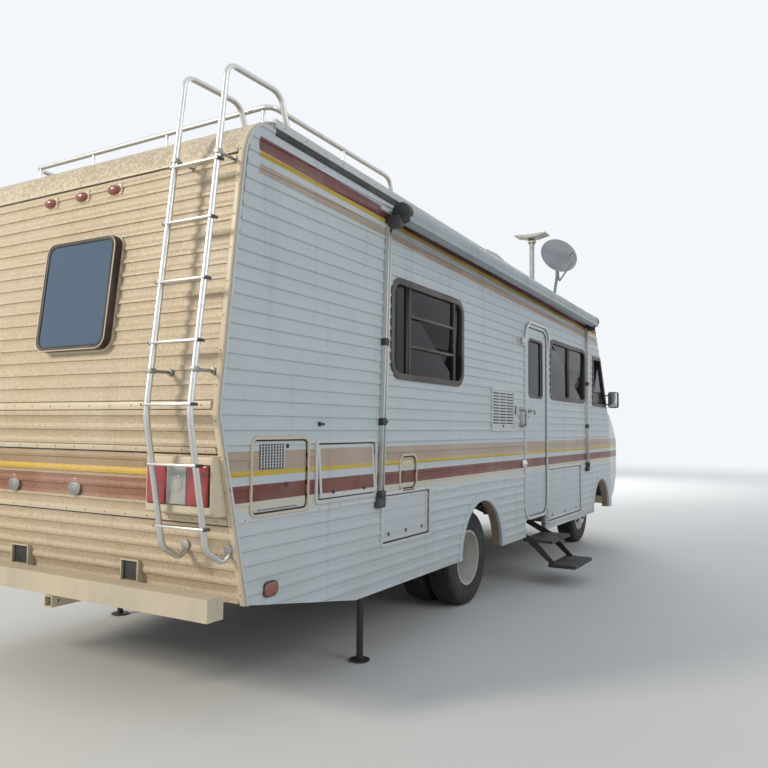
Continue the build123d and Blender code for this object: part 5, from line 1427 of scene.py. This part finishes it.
AWNING_Y, AWNING_R = -1.330, 0.064
AWNING_ENDS = ((-2.505, 2.903, "rear"), (2.465, 2.808, "front"))     # x and z of the roll's axis
WALL_Y = -1.222               # just off the right wall's face
ARM_LEAN, LEAN_FROM, LEAN_HEIGHT = 0.080, 2.850, 1.850     # the rear arm's foot stands behind its head


def awning_arm(x, z, out):
    """One arm with its two rails, and its black castings, from the end casting down to the foot."""
    cap = rod((x + out * 0.004, AWNING_Y, z), (x - out * 0.060, AWNING_Y, z), AWNING_R + 0.003, 40, 0.006)
    castings = [cap,
                block((x - 0.020, -1.345, z - 0.105), (x + 0.020, -1.236, z - 0.040), 0.010, 3),
                block((x - 0.018, AWNING_Y, z - 0.060), (x + 0.018, WALL_Y, z - 0.020), 0.008, 3),
                block((x - 0.045, -1.262, 0.975), (x + 0.045, -1.221, 1.045), 0.010, 3),
                block((x - 0.026, -1.272, 1.030), (x + 0.026, -1.224, 1.085), 0.008, 3)]
    castings += [block((x - 0.024, -1.262, height), (x + 0.024, WALL_Y, height + 0.050), 0.006)
                 for height in (1.500, 2.020)]
    castings.append(rod((x + 0.024, -1.244, 1.525), (x + 0.052, -1.244, 1.525), 0.012, 20, 0.003))
    arm = [block((x - 0.020, -1.250, 1.040), (x + 0.020, WALL_Y, z - 0.070), 0.003)]
    arm += [block((x + edge - 0.004, -1.260, 1.060), (x + edge + 0.004, -1.246, z - 0.090), 0.002)
            for edge in (-0.016, 0.016)]
    return arm, castings


def awning():
    """The closed roll in its case with the lip of its flap, its rail on the wall, and its arms."""
    start, end = [(x, AWNING_Y, z) for x, z, _ in AWNING_ENDS]
    case = rod(start, end, AWNING_R, 48)
    dress(case, "awning_case", "root", AWNING_CASE, "skin_white", ("awning",))
    flap = block((-2.480, -1.398, 2.8), (2.440, -1.3865, 2.835), 0.002)
    for vertex in flap.data.vertices:
        vertex.co.z += 0.062 - (vertex.co.x + 2.59) * 0.019 - 0.02
        vertex.co.y += 0.005
    dress(flap, "awning_lip", "root", AWNING_CASE, "skin_white")
    rail = on_roof(block((-2.60, -1.246, -0.170), (2.47, WALL_Y, -0.145), 0.003))
    dress(rail, "awning_wall_rail", *WHITE_TRIM)
    arms, castings = [], []
    for x, z, word in AWNING_ENDS:
        arm, fittings = awning_arm(x, z, -1 if word == "rear" else 1)
        if word == "rear":
            for piece in arm + fittings:
                for vertex in piece.data.vertices:
                    vertex.co.x -= ARM_LEAN * max(0.0, LEAN_FROM - vertex.co.z) / LEAN_HEIGHT
        arms += arm
        castings += fittings
    dress(join("arms", arms), "awning_arms", *BARE_ALUMINIUM)
    dress(join("castings", castings), "awning_castings", *BLACK_PARTS)


awning()

# Wheels


def spun(profile, segments):
    """A ring turned about the Y axis from a closed profile of (y, radius) points."""
    bpy.ops.mesh.primitive_circle_add(vertices=len(profile), fill_type="NOTHING")
    piece = bpy.context.object
    for vertex, (y, radius) in zip(piece.data.vertices, profile):
        vertex.co = (radius, y, 0)
    edit(piece)
    bpy.ops.mesh.spin(steps=segments, angle=2 * pi, center=(0, 0, 0), axis=(0, 1, 0))
    bpy.ops.mesh.select_all(action="SELECT")
    bpy.ops.mesh.remove_doubles(threshold=0.00005)
    bpy.ops.mesh.normals_make_consistent(inside=False)
    leave_edit()
    return piece


def tyre():
    """A road tyre about the origin: moulded sidewall rings, shoulder lugs and four ribs of tread blocks."""
    half = TYRE_W / 2
    profile = [(-0.092, 0.220), (-0.106, 0.240), (-0.1085, 0.252), (-0.1065, 0.256), (-0.1115, 0.290),
               (-half, 0.315), (-half + 0.001, 0.335), (-0.1095, 0.338), (-0.108, 0.350), (-0.103, 0.366),
               (-0.094, 0.378), (-0.082, 0.3835)]
    profile += [(-y, r) for y, r in reversed(profile)]
    body = spun(profile, 96)
    lugs = []
    for y0, y1 in ((-0.092, -0.050), (-0.042, -0.004), (0.004, 0.042), (0.050, 0.092)):
        lug = block((-0.0148, y0, 0.3800), (0.0148, y1, 0.3915), 0.0022, 1)
        for vertex in lug.data.vertices:
            vertex.co.x += (0.006 if y0 < 0 else -0.006) * (vertex.co.y - y0) / (y1 - y0)
            if abs(vertex.co.y) > 0.07 and vertex.co.z > 0.385:
                vertex.co.z -= 0.0065
        lugs.append(lug)
    outer = block((-0.011, 0.088, 0.352), (0.011, 0.1035, 0.3815), 0.003, 1)
    for vertex in outer.data.vertices:
        if vertex.co.z > 0.37:
            vertex.co.y -= 0.007
    lugs.append(outer)
    lugs.append(mirrored(outer))
    row = join("lugs", lugs)
    rows = []
    for n in range(LUG_ROWS):
        turned = copy_to(row, (0, 0, 0))
        turned.data.transform(Matrix.Rotation(2 * pi * n / LUG_ROWS, 4, "Y"))
        rows.append(turned)
    bpy.data.objects.remove(row)
    piece = join("tyre", [body] + rows)
    return smooth(piece, 40)


REAR_WHEEL_Y, FRONT_WHEEL_Y, TWIN_SPACING = 1.100 - TYRE_W / 2, 0.833, 0.264
NUTS, NUT_CIRCLE = 8, 0.082   # how many wheel nuts there are, and the radius of their circle


def wheels():
    """A tyre on every rim, twins at the rear, and the nuts round each hub's rim."""
    model = tyre()
    rows = ((REAR_AXLE, REAR_WHEEL_Y, "rear_wheels", "outer_tyre", "rear_tyres"),
            (REAR_AXLE, REAR_WHEEL_Y - TWIN_SPACING, "rear_wheels", "inner_tyre", "rear_tyres"),
            (FRONT_AXLE, FRONT_WHEEL_Y, "front_wheel", "steered_tyre", "front_tyre"))
    for side, word in SIDES:
        for x, y, body, name, node in rows:
            dress(copy_to(model, (x, side * y, AXLE_Z)), f"{name}_{word}", f"{body}_{word}", RUBBER, "tyre",
                  (f"{node}_{word}",))
    bpy.data.objects.remove(model)
    for side, word in SIDES:
        for x, face, body, label in ((REAR_AXLE, REAR_WHEEL_Y - 0.132 + 0.004, "rear_wheels", "rear"),
                                     (FRONT_AXLE, FRONT_WHEEL_Y + 0.136, "front_wheel", "front")):
            nuts = []
            for n in range(NUTS):
                turn = 2 * pi * (n + 0.5) / NUTS
                at = Vector((x + NUT_CIRCLE * cos(turn), 0, AXLE_Z + NUT_CIRCLE * sin(turn)))
                for near, far, radius, sides in ((-0.002, 0.020, 0.014, 6), (0.018, 0.032, 0.008, 12)):
                    inner, outer = Vector((0, side * (face + near), 0)), Vector((0, side * (face + far), 0))
                    nuts.append(rod(at + inner, at + outer, radius, sides, 0.001))
            dress(join("nuts", nuts), f"{label}_wheel_nuts_{word}", f"{body}_{word}", GALVANISED,
                  "steel_grey")


wheels()

# Roof furniture


def air_conditioner():
    """A low tray with a domed shroud, cut by a long air slot on each side, and louvres in its front."""
    right, left = -0.728, 0.008
    tray = on_roof(prism([(0.270, 0.000), (1.280, 0.000), (1.262, 0.070), (0.288, 0.070)], -0.738, 0.018))
    soften(tray, 0.006)
    profile = [(0.170, 3.062), (0.185, 3.225), (0.300, 3.330), (0.520, 3.378), (0.800, 3.385), (1.050, 3.350),
               (1.240, 3.262), (1.285, 3.040)]
    shroud = soften(prism(profile, right, left), 0.030, 4, 50)
    for y in (right, left):
        slot = [(0.330, 3.262), (0.345, 3.302), (1.120, 3.268), (1.105, 3.228)]
        cut(shroud, prism(slot, y - 0.040, y + 0.040))
    dress(join("shell", [shroud, tray]), "air_conditioner_shell", "root", AC_SHELL, "roof_plastic",
          ("air_conditioner",))
    # Dark plates of painted shade inside the air slots
    dark = [prism([(0.310, 3.240), (0.320, 3.310), (1.140, 3.275), (1.130, 3.210)], y0, y1)
            for y0, y1 in ((-0.700, -0.690), (-0.030, -0.020))]
    dress(join("dark", dark), "air_conditioner_slot_shade", *RUBBER_AND_SHADE_PARTS)
    louvres = []
    for n in range(5):
        z = roof_z(0.3) + 0.080 + n * 0.030
        louvres.append(block((1.240, -0.560, z), (1.2900 - n * 0.006, -0.160, z + 0.013), 0.003))
    dress(join("louvres", louvres), "air_conditioner_louvres", *RUBBER_AND_SHADE_PARTS)


def vent_flange():
    """Screwed flange round the roof vent's curb."""
    flange = on_roof(block((-3.455, -0.745, 0.0), (-3.045, -0.335, 0.006), 0.002))
    dress(flange, "vent_flange", *DULL_METAL)
    middle = (-3.250, -0.540)
    spots = [(x, y, roof_z(x) + 0.0065) for x in (-3.442, -3.250, -3.058) for y in (-0.732, -0.540, -0.348)
             if (x, y) != middle]
    screws("vent_flange_screws", spots, (0, 0, 1), 0.006)


def roof_seams():
    """Low seams across the roof where its sheets meet."""
    seams = [on_roof(block((x - 0.012, -1.170, -0.001), (x + 0.012, 1.170, 0.003), 0.001))
             for x in (-2.45, -1.22, 0.0, 1.45)]
    dress(join("seams", seams), "roof_seams", "root", ROOF, "roof_white")


air_conditioner()
vent_flange()
roof_seams()

# Cab: padded seats on boxes, steering wheel, dash with its hood, and the engine cover


SEAT_Y = 0.640


def cushion(name, low, high, tilt):
    """A padded cushion between two corners: a cube with swelled faces, leaning back by tilt in degrees."""
    low, high = Vector(low), Vector(high)
    bpy.ops.mesh.primitive_cube_add(size=2)
    piece = bpy.context.object
    edit(piece)
    bpy.ops.mesh.subdivide(number_cuts=11)
    leave_edit()
    for vertex in piece.data.vertices:
        a, b, c = vertex.co
        swell = [1 - 0.16 * (abs(p) ** 4 + abs(q) ** 4) / 2 for p, q in ((b, c), (a, c), (a, b))]
        crease = 0.030 * (1 if abs(abs(b) - 0.55) < 0.07 else 0)
        vertex.co = (a * swell[0] * (1 - crease), b * swell[1], c * swell[2] * (1 - crease))
    piece.data.transform(Matrix.Diagonal((*((high - low) / 2), 1)))
    turn = Matrix.Rotation(radians(tilt), 4, "Y")
    piece.data.transform(Matrix.Translation((low + high) / 2) @ turn)
    modify(piece, "SUBSURF", levels=1, render_levels=1)
    pick(piece)
    bpy.ops.object.shade_smooth()
    dress(piece, name, "root", SEAT_CLOTH, "cab_trim")


def dash_and_boxes():
    """Seat boxes with their armrests, the dash with its hood, and the engine cover between the seats."""
    rigid = []
    for side, word in SIDES:
        y = side * SEAT_Y
        cushion(f"seat_cushion_{word}", (2.175, y - 0.250, 1.325), (2.690, y + 0.250, 1.470), -3)
        cushion(f"seat_back_{word}", (2.090, y - 0.245, 1.420), (2.235, y + 0.245, 2.030), -9)
        rigid.append(block((2.270, y - 0.160, 0.980), (2.590, y + 0.160, 1.325), 0.012))
        for arm in (-0.268, 0.268):
            rigid.append(block((2.230, y + arm - 0.022, 1.600), (2.560, y + arm + 0.022, 1.640), 0.014, 3))
            rigid.append(block((2.205, y + arm - 0.010, 1.440), (2.240, y + arm + 0.010, 1.610), 0.006))
    dash = [(3.340, 0.981), (3.300, 1.620), (3.340, 1.700), (3.560, 1.735), (3.625, 1.690), (3.625, 0.981)]
    hood = [(3.262, 1.640), (3.290, 1.755), (3.420, 1.770), (3.470, 1.690)]
    rigid.append(soften(prism(dash, -1.160, 1.160), 0.016, 3))
    rigid.append(soften(prism(hood, 0.420, 0.860), 0.012, 3))
    rigid.append(block((2.460, -0.350, 0.981), (3.350, 0.350, 1.215), 0.050, 4))
    dress(join("rigid", rigid), "dash_and_boxes", "root", DASH, "cab_trim", ("cab_fittings",))


def steering_wheel():
    """Rim, hub, column and three spokes in front of the left seat, and the gauges behind them."""
    hub, axle = Vector((3.080, SEAT_Y, 1.690)), Vector((-0.65, 0, 0.76)).normalized()
    bpy.ops.mesh.primitive_torus_add(major_radius=0.195, minor_radius=0.013, major_segments=64,
                                     minor_segments=12)
    rim = bpy.context.object
    rim.data.transform(Matrix.Translation(hub) @ axle.to_track_quat("Z", "Y").to_matrix().to_4x4())
    across, down = Vector((0, 1, 0)), axle.cross(Vector((0, 1, 0)))
    wheel = [rim, rod(hub - axle * 0.030, hub + axle * 0.012, 0.046, 32, 0.006),
             rod(hub - axle * 0.28, hub, 0.026, 24)]
    for way in (across, -across, down):
        wheel.append(rod(hub, hub + way * 0.190, 0.010, 12))
    dress(join("wheel", wheel), "steering_wheel", "root", PLASTIC_BLACK, "cab_trim")
    dials = [rod((3.2745, y, 1.702), (3.2690, y, 1.700), 0.032, 28, 0.001) for y in (0.520, 0.640, 0.760)]
    dress(join("dials", dials), "gauges", "root", TRIM_CREAM, "skin_white")


dash_and_boxes()
steering_wheel()

# Front: windscreen rubbers, wipers and mirror glass


def front_end():
    """Rubbers and wipers of the two windscreen panes, and the mirrors' glass."""
    down = Vector((0.614, 0, -1.155)).normalized()       # along the windscreen
    out = Vector((1.155, 0, 0.614)).normalized()         # away from it
    middle = Vector((3.293, 0, 2.3525))
    for side, word in SIDES:
        rubber = ring(-0.554, 0.554, -0.519, 0.519, 0.104, 0.026, -0.018, 0.008, 0.004)
        for vertex in rubber.data.vertices:
            across, depth, up = vertex.co
            aside = Vector((0, across + side * 0.570, 0))
            vertex.co = middle - down * (up - 0.015) + out * (-depth - 0.002) + aside
        dress(rubber, f"windscreen_rubber_{word}", *RUBBER_AND_SHADE_PARTS)
        foot = middle + down * 0.570 + Vector((0, side * 0.300, 0)) + out * 0.010
        sweep, half_blade = Vector((0, side * 0.30, 0)), Vector((0, side * 0.10, 0))
        blade = foot + out * 0.010 - down * 0.42 + sweep
        arm = [foot + out * 0.016, foot + out * 0.030 - down * 0.10, foot + out * 0.020 - down * 0.42 + sweep]
        wiper = [rod(foot - out * 0.02, foot + out * 0.020, 0.018, 20, 0.003), tube(arm, 0.005),
                 rod(blade - half_blade + down * 0.16, blade + half_blade - down * 0.16, 0.006, 8)]
        dress(join("wiper", wiper), f"wiper_{word}", *BLACK_PARTS)
        y = side * 1.325
        glass = block((3.4635, y - 0.056, 1.786), (3.4665, y + 0.056, 1.980), 0.001)
        dress(glass, f"mirror_glass_{word}", *BRIGHT_PARTS)


front_end()

# Floor, light and camera

EYE = Vector((-6.72, -3.65, 1.49))
YAW, PITCH, ROLL = radians(30.007), radians(3.319), radians(0.552)
FOCAL_PIXELS, FRAME_PIXELS, SENSOR = 742.63, 768, 36.0
PALE = (0.90, 0.93, 0.97, 1)


def add_camera():
    """The photo's camera, solved from its vanishing lines and the vehicle's known sizes."""
    ahead = Vector((cos(PITCH) * cos(YAW), cos(PITCH) * sin(YAW), sin(PITCH)))
    right = Vector((sin(YAW), -cos(YAW), 0))
    up = right.cross(ahead)
    right, up = right * cos(ROLL) + up * sin(ROLL), up * cos(ROLL) - right * sin(ROLL)
    bpy.ops.object.camera_add(location=EYE)
    camera = bpy.context.object
    turn = Matrix((right, up, -ahead)).transposed().to_4x4()
    camera.matrix_world = Matrix.Translation(EYE) @ turn
    camera.data.lens = FOCAL_PIXELS / FRAME_PIXELS * SENSOR
    camera.data.sensor_width = SENSOR
    camera.data.clip_end = 200
    bpy.context.scene.camera = camera


def seen_share(tree):
    """1 for what the camera sees, also in metal and through glass, and 0 for light on the object."""
    rays = tree.nodes.new("ShaderNodeLightPath")
    seen = maths(tree, "MAXIMUM", rays.outputs["Is Camera Ray"], rays.outputs["Is Glossy Ray"])
    return maths(tree, "MAXIMUM", seen, rays.outputs["Is Transmission Ray"])


def add_floor():
    """A grey floor that fades to the pale background with distance."""
    bpy.ops.mesh.primitive_plane_add(size=120, location=(0, 0, -0.001))
    floor = bpy.context.object
    floor.name = "studio_floor"
    material, tree, shader, place = begin("studio floor")
    grain = mix(tree, noise(tree, place, 1.2, 5.0), (0.70, 0.70, 0.69, 1), (0.74, 0.74, 0.73, 1))
    tree.links.new(grain, shader.inputs["Base Color"])
    shader.inputs["Roughness"].default_value = 0.9
    seen = seen_share(tree)
    away = add(tree, "ShaderNodeVectorMath", ((0, place),), operation="LENGTH").outputs["Value"]
    pale = add(tree, "ShaderNodeEmission", (("Color", PALE), ("Strength", 1.0)))
    share = times(tree, steps(tree, away, 7.0, 30.0), seen)
    both = add(tree, "ShaderNodeMixShader", ((0, share), (1, shader.outputs[0]), (2, pale.outputs[0])))
    tree.links.new(both.outputs[0], tree.nodes["Material Output"].inputs[0])
    floor.data.materials.append(material)


def add_light(name, place, target, size, power, colour=(1, 1, 1)):
    """A square area light at a place, turned to a target."""
    bpy.ops.object.light_add(type="AREA", location=place)
    lamp = bpy.context.object
    lamp.name = name
    lamp.data.shape = "RECTANGLE"
    lamp.data.size = lamp.data.size_y = size
    lamp.data.energy = power
    lamp.data.color = colour
    lamp.rotation_euler = (Vector(target) - Vector(place)).to_track_quat("-Z", "Y").to_euler()


def add_world():
    """Soft light on the object in front of the pale background."""
    world = bpy.data.worlds.new("studio")
    bpy.context.scene.world = world
    world.use_nodes = True
    tree = world.node_tree
    tree.nodes.clear()
    seen = seen_share(tree)
    soft = add(tree, "ShaderNodeBackground", (("Color", (0.90, 0.95, 1.0, 1)), ("Strength", 0.46)))
    pale = add(tree, "ShaderNodeBackground", (("Color", PALE), ("Strength", 1.0)))
    both = add(tree, "ShaderNodeMixShader", ((0, seen), (1, soft.outputs[0]), (2, pale.outputs[0])))
    sink = tree.nodes.new("ShaderNodeOutputWorld")
    tree.links.new(both.outputs[0], sink.inputs[0])


add_camera()
add_floor()
add_world()
add_light("sun_side", (-15, 7, 8), (-3, 0, 1.5), 3.0, 1500, (1.0, 0.92, 0.78))
add_light("fill_side", (-3, -16, 9), (0, 0, 1.5), 8.0, 520, (0.90, 0.95, 1.0))
add_light("fill_front", (16, 4, 7), (3, 0, 1.5), 6.0, 1000)
bpy.context.scene.view_settings.view_transform = "Standard"
